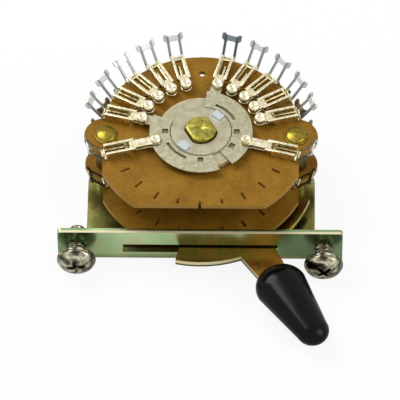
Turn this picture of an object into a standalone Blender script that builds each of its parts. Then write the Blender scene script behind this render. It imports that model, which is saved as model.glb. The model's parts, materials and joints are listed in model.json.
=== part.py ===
"""Rotary blade selector switch: two wafers of contacts, a bent bracket and a lever with five positions.

The shaft stands on +Z. The slotted strip of the bracket faces -Y, and the lever comes out through it.
The base plate lies on z = 0, and the origin is the middle of the footprint. Lengths are in metres.
"""

import bmesh
import bpy
from math import acos, atan2, cos, pi, radians, sin, sqrt, tan
from mathutils import Matrix, Vector

MM = 0.001

# Fits
SEAT = 0.05 * MM              # between two pieces that are clamped or rest on each other
RUNNING = 0.08 * MM           # between a piece that turns and the piece beside it

# Bracket: one stamping, a base plate with the slotted strip bent up at its front
SHEET = 0.9 * MM
STRIP_LUG = 4.6 * MM          # how far the strip reaches past the base plate, on each side
STRIP_HEIGHT = 7.8 * MM
STRIP_REACH = 15.9 * MM       # from the shaft to the strip's outer face
STRIP_CORNER = 0.5 * MM
BEND_RADIUS = 0.3 * MM        # inside the bend
BASE_LOBE = 3.3 * MM          # metal round each post
BASE_WAIST = 9.5 * MM         # radius of the metal round the shaft
RELIEF = 0.5 * MM             # cut between the bend and the strip's lugs
SLOT_HEIGHT = 2.1 * MM
SLOT_END_CLEARANCE = 0.15 * MM
SCREW_EDGE = 3.15 * MM        # from a screw's centre to the strip's end

# Wafers of phenolic paper board
WAFER = 0.8 * MM
WAFER_BACK = 16.9 * MM        # radius of the rear edge
WAFER_SIDE = 16.4 * MM        # from the shaft's plane to the straight sides
WAFER_CORNER = 1.8 * MM       # how much farther the round front corners reach
WAFER_LOBE = 3.7 * MM
WAFER_BORE = 4.9 * MM
WAFER_CLEARANCE = 0.4 * MM    # between the straight front edge and the strip
WAFER_SPACING = 7.55 * MM     # from one wafer's top face to the other's
INDEX_HOLE = 0.55 * MM
INDEX_INSET = 3.6 * MM        # from the rear edge to the index hole
CONTACT_PITCH = 15.0          # degrees between neighbouring contact places
SLIT_LENGTH = 1.6 * MM
SLIT_WIDTH = 0.45 * MM
SLIT_RIM = 0.2 * MM           # board left between a slit and the front edge
NOTCH_DEPTH = 0.9 * MM

# Posts that clamp the stack
POST_INSET = 1.0 * MM         # from the wafer's rear radius in to the post's centre
POST_RADIUS = 1.15 * MM
POST_HEAD_RADIUS = 1.95 * MM
POST_RIM = 0.2 * MM           # straight side of the head
POST_CROWN = 0.6 * MM         # its dome
POST_FOOT = 0.5 * MM          # the flare of a foot that is peened into the plate's countersink
SPACER_RADIUS = 1.9 * MM

# Contact clips, stamped from thin spring metal
CLIP_SHEET = 0.3 * MM
CLIP_WIDTH = 2.2 * MM         # of the floor and of the jaws' round ends
CHANNEL_WIDTH = 2.3 * MM
CLIP_STEP = 0.04 * MM         # how far one folded face stands inside the next
CHANNEL_LENGTH = 4.1 * MM
JAW_ROOT = 0.5 * MM           # how far the jaws reach into the channel
LOWER_JAW_WIDTH = 1.9 * MM
JAW_GAP = 0.55 * MM           # between a switched contact's jaws and the blades' rim
COMMON_BITE = 1.85 * MM       # how far a common's upper jaw lies over the blade
TAG_CLEARANCE = 0.1 * MM      # from the wafer's edge to the tag's bend
TAG_SHOULDER = 0.45 * MM      # floor left between the channel and the bend
TAG_RISE = 50.0               # degrees, tag over the wafer's plane
TAG_WIDTH = 2.4 * MM
TAG_BAR = 0.4 * MM            # from the bend to the eye
TAG_EYE_LENGTH = 2.85 * MM
TAG_EYE_WIDTH = 1.5 * MM
TAG_RIM = 0.15 * MM           # between the eye and the head's shoulder
TAG_HEAD_WIDTH = 3.4 * MM
TAG_HEAD_LENGTH = 1.1 * MM
TAG_NOTCH = 0.3 * MM
CLINCH = 0.4 * MM             # how far a clip's tab stands out below the wafer
COMMON_ANGLE = 105.0          # degrees from the rear, to each side
CONTACTS_PER_SIDE = 5

# Rotors: a moulded hub that carries two blades
HUB_FLANGE = 0.85 * MM
HUB_BOSS = 0.45 * MM          # how far the boss stands over the flange
HUB_CHAMFER = 0.1 * MM
HUB_COLLAR = 0.4 * MM         # how far the collar stands out below the wafer
HUB_BORE_GAP = 0.2 * MM       # round the shaft
HUB_PEG = 1.3 * MM
HUB_PEG_WIDTH = 1.8 * MM
HUB_PEG_HEIGHT = 0.25 * MM
HUB_PEG_INSET = 0.15 * MM     # from the boss's edge to a peg's outer side, along the peg's middle
HUB_PEG_ANGLE = 71.0
BLADE = 0.3 * MM
BLADE_FIT = 0.15 * MM         # between the boss and the blades
BLADE_OUTER = 8.65 * MM
BLADE_BAND = 3.4 * MM         # from the blade's inner edge to its rim
BLADE_OVERHANG = 1.25 * MM    # how far the blades reach past the flange
BLADE_START = 36.0            # degrees from the rotor's rear to the blade's first end
BLADE_END = 172.0
TOOTH_ANGLE = 45.0
TOOTH_BITE = 1.4 * MM         # how far a tooth enters a contact's jaws
TOOTH_WIDTH = 1.9 * MM
WINDOW_INSET = 0.25 * MM      # from the blade's inner edge
WINDOW_SIZE = 1.0 * MM
WINDOWS_RIGHT = (120.0, 150.0)
WINDOWS_LEFT = (60.0, 150.0)
PORT_RIGHT = (53.0, 96.0)     # first and last angle of the long window beside a peg
PORT_LEFT = (84.0, 127.0)
PORT_WIDTH = 0.5 * MM
PORT_INSET = 0.6 * MM

# Shaft with two flats
SHAFT_RADIUS = 2.6 * MM
SHAFT_FLAT = 2.2 * MM         # from the axis to each flat
JOURNAL_RADIUS = 2.0 * MM
SHAFT_FOOT = 0.5 * MM
SHAFT_CHAMFER = 0.25 * MM
SHAFT_ABOVE_BOSS = 0.75 * MM

# Lever
LEVER = 1.2 * MM
LEVER_HEIGHT = 3.5 * MM       # from the base plate's underside to the lever's middle
LEVER_HEADROOM = 1.3 * MM     # between the lever and the lower wafer
DETENT_STEP = 15.0            # degrees between two positions of the lever
POSITIONS = 5
SECTOR_PROUD = 3.3 * MM       # how far the sector stands out of the strip
SECTOR_HALF_ANGLE = 42.3
LEVER_HUB_RADIUS = 5.6 * MM
ARM_WIDTH = 6.2 * MM
ARM_TIP_WIDTH = 4.2 * MM
ARM_TAPER = 4.4 * MM          # how far into the tip the arm narrows

# Tip: a moulded cap pushed on the arm
TIP_GAP = 7.3 * MM            # from the strip to the tip, along the lever when it stands straight
TIP_LENGTH = 17.2 * MM
TIP_WIDTH = 8.8 * MM
TIP_END_WIDTH = 5.6 * MM
TIP_THICKNESS = 6.4 * MM
TIP_SHOULDER = 4.2 * MM       # length of the round end that faces the strip
TIP_GRIP = 9.4 * MM           # how far the arm reaches into it

# Detent: a ball held in the lever by a leaf spring
BALL_REACH = 11.0 * MM
DIMPLE_DEPTH = 0.25 * MM
LEAF = 0.25 * MM
LEAF_WIDTH = 3.8 * MM
LEAF_TAIL = 1.8 * MM          # behind the rivet
LEAF_RIVET_GAP = 3.6 * MM     # from the ball to the rivet
LEAF_RIVET_RADIUS = 0.6 * MM
LEAF_RIVET_HEAD = 1.0 * MM
LEAF_RIVET_HEAD_HEIGHT = 0.3 * MM

# Mounting screws
SCREW_RADIUS = 1.6 * MM
SCREW_LENGTH = 6.0 * MM       # under the head
SCREW_POINT = 0.5 * MM
SCREW_HEAD_RADIUS = 3.25 * MM
SCREW_HEAD_RIM = 0.6 * MM
SCREW_HEAD_CROWN = 1.5 * MM
LEFT_GRIP = 2.15 * MM         # between the strip and the left screw's head
RIGHT_GRIP = 2.9 * MM
RECESS_SPAN = 3.4 * MM
RECESS_WIDTH = 0.7 * MM
RECESS_DEPTH = 1.1 * MM

# Facets round a full turn, and on small arcs
ROUND = 28
MIDDLE_ROUND = 18
SMALL_ROUND = 14
HOLE_ROUND = 10
BEND_STEPS = 4
CORNER_STEPS = 3
LOBE_STEPS = 6
BLADE_STEPS = 16
TIP_STEPS = 5
DOME_STEPS = 4
JAW_STEPS = 4
PORT_STEPS = 4
FILL_SLANT = 7.3              # degrees by which an outline is turned while it is filled
FLAT_ANGLE = 0.5              # degrees between faces that count as one plane
TIP_SMOOTHING = 50.0          # degrees between facets that still shade as one surface

# Plan of the stack, worked out from the sizes above
STRIP_INSIDE = STRIP_REACH - SHEET
POST_X = WAFER_BACK - POST_INSET
BASE_WIDTH = 2 * (POST_X + BASE_LOBE)
STRIP_LENGTH = BASE_WIDTH + 2 * STRIP_LUG
SCREW_SPACING = STRIP_LENGTH - 2 * SCREW_EDGE
WAFER_FRONT = WAFER_SIDE + WAFER_CORNER        # radius of the front corners
WAFER_CHORD = STRIP_INSIDE - WAFER_CLEARANCE   # from the shaft to the straight front edge
TAG_BEND = WAFER_BACK + TAG_CLEARANCE
CHANNEL_OUTER = TAG_BEND - TAG_SHOULDER
CHANNEL_INNER = CHANNEL_OUTER - CHANNEL_LENGTH
SLIT_REACH = (CHANNEL_INNER + CHANNEL_OUTER) / 2
CLIP_INNER = BLADE_OUTER + JAW_GAP
COMMON_INNER = BLADE_OUTER - COMMON_BITE
TOOTH_OUTER = CLIP_INNER + TOOTH_BITE
HUB_FLANGE_RADIUS = BLADE_OUTER - BLADE_OVERHANG
BLADE_INNER = BLADE_OUTER - BLADE_BAND
HUB_BOSS_RADIUS = BLADE_INNER - BLADE_FIT
HUB_PEG_REACH = HUB_BOSS_RADIUS - HUB_PEG_INSET - HUB_PEG / 2
LEAF_RIVET_REACH = BALL_REACH - LEAF_RIVET_GAP
SECTOR_RADIUS = STRIP_REACH + SECTOR_PROUD
TIP_START = STRIP_REACH + TIP_GAP
ARM_END = TIP_START + TIP_GRIP
ARM_STEP = TIP_START + ARM_TAPER
LEVER_LIMIT = DETENT_STEP * (POSITIONS - 1) / 2
SECTOR_REACH = sqrt(SECTOR_RADIUS ** 2 - STRIP_INSIDE ** 2)    # half the sector's width at the strip
ARM_REACH = STRIP_REACH * tan(radians(LEVER_LIMIT)) + ARM_WIDTH / 2 / cos(radians(LEVER_LIMIT))
SLOT_HALF = max(SECTOR_REACH, ARM_REACH) + SLOT_END_CLEARANCE

# Heights of the stack
LEVER_LOW = LEVER_HEIGHT - LEVER / 2
LEVER_TOP = LEVER_HEIGHT + LEVER / 2
BALL_RADIUS = (LEVER_TOP - SHEET - SEAT) / 2
LOWER_WAFER_Z = LEVER_TOP + LEVER_HEADROOM
UPPER_WAFER_Z = LOWER_WAFER_Z + WAFER_SPACING
LOWER_SPACER = LOWER_WAFER_Z - SHEET - 2 * SEAT
UPPER_SPACER = WAFER_SPACING - WAFER - 2 * SEAT
POST_TOP = UPPER_WAFER_Z + WAFER + SEAT
BLADE_Z = RUNNING + HUB_FLANGE + SEAT          # blade's underside over the wafer's top face
JAW_Z = BLADE_Z + BLADE + SEAT                 # upper jaw's underside over the wafer's top face
LOWER_JAW_Z = BLADE_Z - SEAT - CLIP_SHEET
CLIP_HEIGHT = JAW_Z + CLIP_SHEET + CLIP_STEP
BOSS_TOP = RUNNING + HUB_FLANGE + HUB_BOSS     # over the wafer's top face
SHAFT_TOP = UPPER_WAFER_Z + WAFER + BOSS_TOP + SHAFT_ABOVE_BOSS


def material(name, colour, roughness, metallic=0.0):
    """Principled material with the part's own colour."""
    made = bpy.data.materials.new(name)
    made.use_nodes = True
    shader = made.node_tree.nodes["Principled BSDF"]
    shader.inputs["Base Color"].default_value = (*colour, 1.0)
    shader.inputs["Roughness"].default_value = roughness
    shader.inputs["Metallic"].default_value = metallic
    made.diffuse_color = (*colour, 1.0)
    return made


def collection(name):
    made = bpy.data.collections.new(name)
    bpy.context.scene.collection.children.link(made)
    return made


def place(obj, owner, parent=None, finish=None):
    """Link an object into its collection, under its parent, with its material."""
    owner.objects.link(obj)
    obj.parent = parent
    if finish is not None:
        obj.data.materials.clear()
        obj.data.materials.append(finish)
    return obj


def shade(mesh, angle=35.0):
    mesh.shade_smooth()
    mesh.set_sharp_from_angle(angle=radians(angle))


def around(reach, degrees):
    """Point at a distance from the shaft, by the angle from the rear (+Y) towards +X."""
    return Vector((reach * sin(radians(degrees)), reach * cos(radians(degrees))))


def arc(centre, radius, start, end, steps):
    """Points on an arc, by angles in degrees from +X."""
    turn = (end - start) / steps
    angles = [radians(start + turn * k) for k in range(steps + 1)]
    return [Vector((centre[0] + radius * cos(a), centre[1] + radius * sin(a))) for a in angles]


def circle(centre, radius, steps):
    return arc(centre, radius, 0.0, 360.0, steps)[:-1]


def rectangle(x0, y0, x1, y1):
    return [Vector((x0, y0)), Vector((x1, y0)), Vector((x1, y1)), Vector((x0, y1))]


def turned_points(points, degrees):
    """Rotate plan points about the shaft, from the rear towards +X."""
    turn = Matrix.Rotation(-radians(degrees), 2)
    return [turn @ p for p in points]


def plate(name, loops, thickness, z=0.0):
    """Flat sheet from a 2D curve: the first loop is the edge and the others are holes.

    The curve is filled at a slant and turned back, because a fill can fail where points share one y.
    """
    slant = Matrix.Rotation(radians(FILL_SLANT), 2)
    curve = bpy.data.curves.new(name, "CURVE")
    curve.dimensions = "2D"
    curve.fill_mode = "BOTH"
    curve.extrude = thickness / 2
    for loop in loops:
        spline = curve.splines.new("POLY")
        spline.points.add(len(loop) - 1)
        for point, place_at in zip(spline.points, loop):
            point.co = (*(slant @ place_at), 0.0, 1.0)
        spline.use_cyclic_u = True
    drawn = bpy.data.objects.new(name + "_outline", curve)
    bpy.context.scene.collection.objects.link(drawn)
    made = evaluated_mesh(drawn, name)
    bpy.data.objects.remove(drawn)
    bpy.data.curves.remove(curve)
    made.transform(Matrix.Translation((0.0, 0.0, z + thickness / 2))
                   @ Matrix.Rotation(-radians(FILL_SLANT), 4, "Z"))
    shade(made)
    return bpy.data.objects.new(name, made)


def evaluated_mesh(obj, name):
    """Mesh of an object as its modifiers leave it, with its loose caps welded."""
    bpy.context.view_layer.update()
    graph = bpy.context.evaluated_depsgraph_get()
    made = bpy.data.meshes.new_from_object(obj.evaluated_get(graph))
    made.name = name
    welded = bmesh.new()
    welded.from_mesh(made)
    bmesh.ops.remove_doubles(welded, verts=welded.verts, dist=0.001 * MM)
    bmesh.ops.recalc_face_normals(welded, faces=welded.faces)
    welded.to_mesh(made)
    welded.free()
    return made


def dissolve_flat(mesh):
    """Merge the flat faces that exact Booleans leave in pieces."""
    shape = bmesh.new()
    shape.from_mesh(mesh)
    bmesh.ops.dissolve_limit(shape, angle_limit=radians(FLAT_ANGLE), verts=shape.verts, edges=shape.edges)
    shape.to_mesh(mesh)
    shape.free()


def turned(name, profile, steps=ROUND, closed=False):
    """Turned solid: a profile of (radius, height), outer side from top to bottom, screwed round Z."""
    mesh = bpy.data.meshes.new(name)
    points = [(r, 0.0, z) for r, z in profile]
    edges = [(k, k + 1) for k in range(len(points) - 1)]
    if closed:
        edges.append((len(points) - 1, 0))
    mesh.from_pydata(points, edges, [])
    obj = bpy.data.objects.new(name, mesh)
    screw = obj.modifiers.new("turn", "SCREW")
    screw.steps = steps
    screw.render_steps = steps
    screw.use_merge_vertices = True
    screw.merge_threshold = 0.001 * MM
    screw.use_smooth_shade = True
    return obj


def tube(name, inner, outer, bottom, top):
    profile = [(inner, top), (outer, top), (outer, bottom), (inner, bottom)]
    return turned(name, profile, MIDDLE_ROUND, closed=True)


def block(name, low, high):
    """Box between two corners."""
    mesh = bpy.data.meshes.new(name)
    shape = bmesh.new()
    bmesh.ops.create_cube(shape, size=1.0)
    size = Vector(high) - Vector(low)
    bmesh.ops.scale(shape, vec=size, verts=shape.verts)
    bmesh.ops.translate(shape, vec=(Vector(high) + Vector(low)) / 2, verts=shape.verts)
    shape.to_mesh(mesh)
    shape.free()
    return bpy.data.objects.new(name, mesh)


def combine(obj, tool, operation, owner, parent=None):
    """Join a tool to an object, or cut it out, with an exact Boolean. The tool stays as a guide."""
    place(tool, owner, parent)
    tool.hide_render = True
    tool.display_type = "WIRE"
    step = obj.modifiers.new(tool.name, "BOOLEAN")
    step.operation = operation
    step.solver = "EXACT"
    step.object = tool


def two_flats(extra, steps=ROUND):
    """Outline of the shaft, grown by a clearance. Its flats face +X and -X."""
    radius = SHAFT_RADIUS + extra
    flat = SHAFT_FLAT + extra
    half = atan2(sqrt(radius ** 2 - flat ** 2), flat) * 180 / pi
    rear = arc((0.0, 0.0), radius, half, 180.0 - half, steps // 2)
    front = arc((0.0, 0.0), radius, 180.0 + half, 360.0 - half, steps // 2)
    return rear + front


def dome(radius, height, base, steps=DOME_STEPS):
    """Half outline of a round crown, from its apex down to its rim."""
    turn = pi / 2 / steps
    return [(radius * sin(turn * k), base + height * cos(turn * k)) for k in range(steps + 1)]


def base_edge():
    """Base plate seen from above, from its right front corner round the rear to its left front corner."""
    half = BASE_WIDTH / 2
    front = -STRIP_INSIDE + BEND_RADIUS
    low = atan2(BASE_LOBE, sqrt(BASE_WAIST ** 2 - BASE_LOBE ** 2)) * 180 / pi
    points = [Vector((half, front))]
    points += arc((POST_X, 0.0), BASE_LOBE, 0.0, 90.0, LOBE_STEPS)
    points += arc((0.0, 0.0), BASE_WAIST, low, 180.0 - low, ROUND // 2)
    points += arc((-POST_X, 0.0), BASE_LOBE, 90.0, 180.0, LOBE_STEPS)
    return points + [Vector((-half, front))]


def strip_edge():
    """Strip seen from the front, from the fold line's left end over the top to its right end."""
    half = STRIP_LENGTH / 2
    fold = SHEET + BEND_RADIUS
    c = STRIP_CORNER
    lug = BASE_WIDTH / 2 + RELIEF
    left = [Vector((-lug, fold)), Vector((-lug, 0.0)), Vector((-half + c, 0.0)), Vector((-half, c))]
    left += arc((-half + c, STRIP_HEIGHT - c), c, 180.0, 90.0, CORNER_STEPS)
    return left + [Vector((-p.x, p.y)) for p in reversed(left)]


def folded_sheet(name):
    """Outer surface of the bracket, folded from one piece: base plate, bend and strip."""
    half = BASE_WIDTH / 2
    bend = SHEET + BEND_RADIUS
    centre = (-STRIP_INSIDE + BEND_RADIUS, bend)
    shape = bmesh.new()
    folds = [[shape.verts.new((x, p[0], p[1])) for x in (-half, half)]
             for p in arc(centre, bend, 270.0, 180.0, BEND_STEPS)]
    rim = [shape.verts.new((p.x, p.y, 0.0)) for p in base_edge()[1:-1]]
    shape.faces.new([folds[0][0]] + list(reversed(rim)) + [folds[0][1]])
    for low, high in zip(folds, folds[1:]):
        shape.faces.new([low[0], low[1], high[1], high[0]])
    upper = [shape.verts.new((p.x, -STRIP_REACH, p.y)) for p in strip_edge()]
    shape.faces.new([folds[-1][0], folds[-1][1]] + list(reversed(upper)))
    mesh = bpy.data.meshes.new(name)
    shape.to_mesh(mesh)
    shape.free()
    made = bpy.data.objects.new(name, mesh)
    solid = made.modifiers.new("sheet", "SOLIDIFY")
    solid.thickness = SHEET
    solid.offset = -1.0
    solid.use_even_offset = True
    return made


def upright(name, loops, front, back):
    """Flat sheet that stands in the XZ plane, between two places on Y."""
    made = plate(name, loops, back - front)
    made.data.transform(Matrix.Rotation(radians(90), 4, "X"))
    made.data.transform(Matrix.Translation((0.0, back, 0.0)))
    return made


def make_bracket(parts, guides, root, finish):
    """Folded sheet with its slot, its two tapped holes, the holes of the stack and the detent's dimples."""
    base = folded_sheet("bracket")
    place(base, parts, root, finish)
    past = SHEET
    slot_low = LEVER_HEIGHT - SLOT_HEIGHT / 2
    slot = rectangle(-SLOT_HALF, slot_low, SLOT_HALF, slot_low + SLOT_HEIGHT)
    cutters = [upright("slot_shape", [slot], -STRIP_REACH - past, -STRIP_INSIDE + past)]
    cutters.append(through_hole("shaft_hole", 0.0, JOURNAL_RADIUS + RUNNING, SHAFT_FOOT))
    for side, sign in (("left", -1), ("right", 1)):
        hole = circle((sign * SCREW_SPACING / 2, LEVER_HEIGHT), SCREW_RADIUS + SEAT, SMALL_ROUND)
        cutters.append(upright("tapped_hole_" + side, [hole], -STRIP_REACH - past, -STRIP_INSIDE + past))
        cutters.append(through_hole("post_hole_" + side, sign * POST_X, POST_RADIUS + SEAT, POST_FOOT))
    for k in range(POSITIONS):
        dimple = dimple_cutter("dimple_%d" % (k + 1))
        dimple.location.xy = around(BALL_REACH, 180.0 + DETENT_STEP * k - LEVER_LIMIT)
        cutters.append(dimple)
    for tool in cutters:
        combine(base, tool, "DIFFERENCE", guides, root)


def through_hole(name, x, radius, flare):
    """Hole in the base plate whose lower end opens as a countersink for a peened foot."""
    past = SHEET
    hole = turned(name, [(0.0, SHEET + past), (radius, SHEET + past), (radius, flare),
                         (radius + flare + past, -past), (0.0, -past)])
    hole.location.x = x
    return hole


def dimple_cutter(name):
    """Shallow recess in the plate's upper face, pressed by a ball of the detent's radius."""
    span = acos((BALL_RADIUS - DIMPLE_DEPTH) / BALL_RADIUS)
    centre = SHEET - DIMPLE_DEPTH + BALL_RADIUS
    bowl = [(BALL_RADIUS * sin(a), centre - BALL_RADIUS * cos(a)) for a in (span, span / 2, 0.0)]
    top = SHEET + DIMPLE_DEPTH
    return turned(name, [(0.0, top), (bowl[0][0], top)] + bowl, SMALL_ROUND)


def wafer_outline():
    """Wafer seen from above: round rear, lobes at the posts, straight sides, corners and front edge."""
    back_x = (POST_X ** 2 + WAFER_BACK ** 2 - WAFER_LOBE ** 2) / (2 * POST_X)
    back_y = sqrt(WAFER_BACK ** 2 - back_x ** 2)
    back = atan2(back_y, back_x) * 180 / pi
    lobe_back = atan2(back_y, back_x - POST_X) * 180 / pi
    side = WAFER_SIDE - POST_X
    lobe_front = -atan2(sqrt(WAFER_LOBE ** 2 - side ** 2), side) * 180 / pi
    corner_start = -atan2(sqrt(WAFER_FRONT ** 2 - WAFER_SIDE ** 2), WAFER_SIDE) * 180 / pi
    corner_end = -atan2(WAFER_CHORD, sqrt(WAFER_FRONT ** 2 - WAFER_CHORD ** 2)) * 180 / pi
    right = arc((0.0, 0.0), WAFER_FRONT, corner_end, corner_start, LOBE_STEPS)
    right += arc((POST_X, 0.0), WAFER_LOBE, lobe_front, lobe_back, 2 * LOBE_STEPS)
    right += arc((0.0, 0.0), WAFER_BACK, back, 90.0, 2 * LOBE_STEPS)
    left = [Vector((-p.x, p.y)) for p in reversed(right[:-1])]
    return right + left


def slit(degrees):
    """One radial slit. Near the straight front edge it ends early, so that a rim stays."""
    half = SLIT_WIDTH / 2
    outer = SLIT_REACH + SLIT_LENGTH / 2
    front = -cos(radians(degrees))
    if front > 0.0:
        outer = min(outer, (WAFER_CHORD - SLIT_RIM - half) / front)
    inner = min(SLIT_REACH - SLIT_LENGTH / 2, outer - 2 * SLIT_WIDTH)
    return turned_points(rectangle(-half, inner, half, outer), degrees)


def contact_angles():
    """Angles of the switched contacts, from the rear, on both sides."""
    near = [CONTACT_PITCH * (k + 1) for k in range(CONTACTS_PER_SIDE)]
    return [-a for a in reversed(near)] + near


def empty_slit_angles():
    """Places of the same pitch in the front half, which hold no contact."""
    last = round(180.0 / CONTACT_PITCH)
    first = round(COMMON_ANGLE / CONTACT_PITCH) + 1
    return [side * CONTACT_PITCH * k for k in range(first, last) for side in (-1, 1)]


def make_wafer(name, z, parts, guides, root, finish):
    """Wafer with its bore, the posts' holes, the index hole, the slits and the notch in its front edge."""
    angles = contact_angles() + [-COMMON_ANGLE, COMMON_ANGLE] + empty_slit_angles()
    loops = [wafer_outline(), circle((0.0, 0.0), WAFER_BORE, ROUND)]
    loops += [circle((0.0, WAFER_BACK - INDEX_INSET), INDEX_HOLE, HOLE_ROUND)]
    loops += [circle((x, 0.0), POST_RADIUS + SEAT, SMALL_ROUND) for x in (-POST_X, POST_X)]
    loops += [slit(angle) for angle in angles]
    made = plate(name, loops, WAFER)
    made.location.z = z
    place(made, parts, root, finish)
    half = SLIT_WIDTH / 2
    low = (-half, -WAFER_CHORD - SLIT_WIDTH, -WAFER)
    notch = block(name + "_front_notch", low, (half, -WAFER_CHORD + NOTCH_DEPTH, 2 * WAFER))
    notch.location.z = z
    combine(made, notch, "DIFFERENCE", guides, root)


def jaw_outline(inner, outer, half):
    """Leaf of a jaw along +Y, whose inner end is round."""
    leaf = arc((0.0, inner + half), half, 180.0, 360.0, JAW_STEPS)
    return leaf + [Vector((half, outer)), Vector((-half, outer))]


def tag_outline():
    """Solder tag along +Y from its bend, with the notched head at its outer end."""
    neck = TAG_WIDTH / 2
    head = TAG_HEAD_WIDTH / 2
    shoulder = TAG_BAR + TAG_EYE_LENGTH + TAG_RIM
    end = shoulder + TAG_HEAD_LENGTH
    ear = neck - TAG_NOTCH
    right = [Vector((neck, 0.0)), Vector((neck, shoulder)), Vector((head, shoulder + TAG_RIM)),
             Vector((head, end)), Vector((neck, end)), Vector((ear, end - TAG_NOTCH))]
    return right + [Vector((-p.x, p.y)) for p in reversed(right)]


def make_tag(name):
    """Tag with its eye, bent up where the clip's floor ends."""
    half = TAG_EYE_WIDTH / 2
    eye = rectangle(-half, TAG_BAR, half, TAG_BAR + TAG_EYE_LENGTH)
    tag = plate(name, [tag_outline(), eye], CLIP_SHEET)
    bend = (0.0, TAG_BEND - CLIP_SHEET / 3, SEAT + CLIP_SHEET / 3)
    tag.data.transform(Matrix.Translation(bend) @ Matrix.Rotation(radians(TAG_RISE), 4, "X"))
    return tag


def channel_outline():
    """Cross section of the channel: a floor on the wafer with two upright sides."""
    half = CHANNEL_WIDTH / 2
    inside = half - CLIP_SHEET
    floor = SEAT + CLIP_SHEET
    right = [Vector((half, SEAT)), Vector((half, CLIP_HEIGHT)), Vector((inside, CLIP_HEIGHT)),
             Vector((inside, floor))]
    return right + [Vector((-p.x, p.y)) for p in reversed(right)]


def make_clip_mesh(name, upper_inner, lower_inner, guides):
    """Contact clip along +Y: a channel, its upper and lower jaw, the tag and the tab in the slit."""
    side = CLIP_WIDTH / 2
    clip = upright(name, [channel_outline()], CHANNEL_INNER, CHANNEL_OUTER)
    bpy.context.scene.collection.objects.link(clip)
    root = CHANNEL_INNER + JAW_ROOT
    upper = jaw_outline(upper_inner, root, side)
    lower = jaw_outline(lower_inner, root - CLIP_STEP, LOWER_JAW_WIDTH / 2)
    pieces = [plate(name + "_upper_jaw", [upper], CLIP_SHEET, JAW_Z),
              plate(name + "_lower_jaw", [lower], CLIP_SHEET, LOWER_JAW_Z)]
    pieces.append(block(name + "_floor", (-side, CHANNEL_OUTER - CLIP_SHEET, SEAT + CLIP_STEP),
                        (side, TAG_BEND, SEAT + CLIP_SHEET - CLIP_STEP)))
    pieces.append(make_tag(name + "_tag"))
    tab = SLIT_WIDTH / 2 - SEAT
    start = SLIT_REACH - SLIT_LENGTH / 2 + SEAT
    pieces.append(block(name + "_tab", (-tab, start, -WAFER - CLINCH),
                        (tab, start + SLIT_LENGTH - 2 * SEAT, SEAT + CLIP_SHEET / 2)))
    for piece in pieces:
        combine(clip, piece, "UNION", guides)
    made = evaluated_mesh(clip, name)
    bpy.data.objects.remove(clip)
    for piece in pieces:
        bpy.data.objects.remove(piece)
    dissolve_flat(made)
    shade(made)
    return made


def make_contacts(level, z, meshes, parts, root, finish):
    """Ten switched contacts and two commons on a wafer's top face."""
    places = [(level + "_contact_%02d" % (k + 1), angle, meshes[0])
              for k, angle in enumerate(contact_angles())]
    places.append((level + "_common_left", -COMMON_ANGLE, meshes[1]))
    places.append((level + "_common_right", COMMON_ANGLE, meshes[1]))
    for name, angle, mesh in places:
        clip = bpy.data.objects.new(name, mesh)
        clip.location.z = z + WAFER
        clip.rotation_euler.z = -radians(angle)
        place(clip, parts, root)
        clip.material_slots[0].link = "OBJECT"
        clip.material_slots[0].material = finish


def blade_outline():
    """Right blade of a rotor: a band with the tooth that enters the contacts' jaws."""
    start, end = 90.0 - BLADE_START, 90.0 - BLADE_END
    half = atan2(TOOTH_WIDTH / 2, BLADE_OUTER) * 180 / pi
    tooth = 90.0 - TOOTH_ANGLE
    outer = arc((0.0, 0.0), BLADE_OUTER, start, tooth + half, 2)
    outer += turned_points([Vector((-TOOTH_WIDTH / 2, TOOTH_OUTER)), Vector((TOOTH_WIDTH / 2, TOOTH_OUTER))],
                           TOOTH_ANGLE)
    outer += arc((0.0, 0.0), BLADE_OUTER, tooth - half, end, BLADE_STEPS)
    inner = arc((0.0, 0.0), BLADE_INNER, end, start, BLADE_STEPS)
    return outer + inner


def blade_openings(window_angles, port):
    """Small square windows of a right blade, and its long window that follows the inner edge."""
    half = WINDOW_SIZE / 2
    low = BLADE_INNER + WINDOW_INSET
    window = rectangle(-half, low, half, low + WINDOW_SIZE)
    low = BLADE_INNER + PORT_INSET
    first, last = 90.0 - port[0], 90.0 - port[1]
    long_window = arc((0.0, 0.0), low + PORT_WIDTH, first, last, PORT_STEPS)
    long_window += arc((0.0, 0.0), low, last, first, PORT_STEPS)
    return [turned_points(window, angle) for angle in window_angles] + [long_window]


def make_blades(level, z, parts, selector, finish):
    """Two blades of a rotor. The left one is the mirror image with windows of its own."""
    right = [blade_outline()] + blade_openings(WINDOWS_RIGHT, PORT_RIGHT)
    left = [blade_outline()] + blade_openings(WINDOWS_LEFT, PORT_LEFT)
    mirrored = [[Vector((-p.x, p.y)) for p in reversed(loop)] for loop in left]
    for side, outline in (("right", right), ("left", mirrored)):
        blade = plate(level + "_blade_" + side, outline, BLADE)
        blade.location.z = z + WAFER + BLADE_Z
        place(blade, parts, selector, finish)


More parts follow.
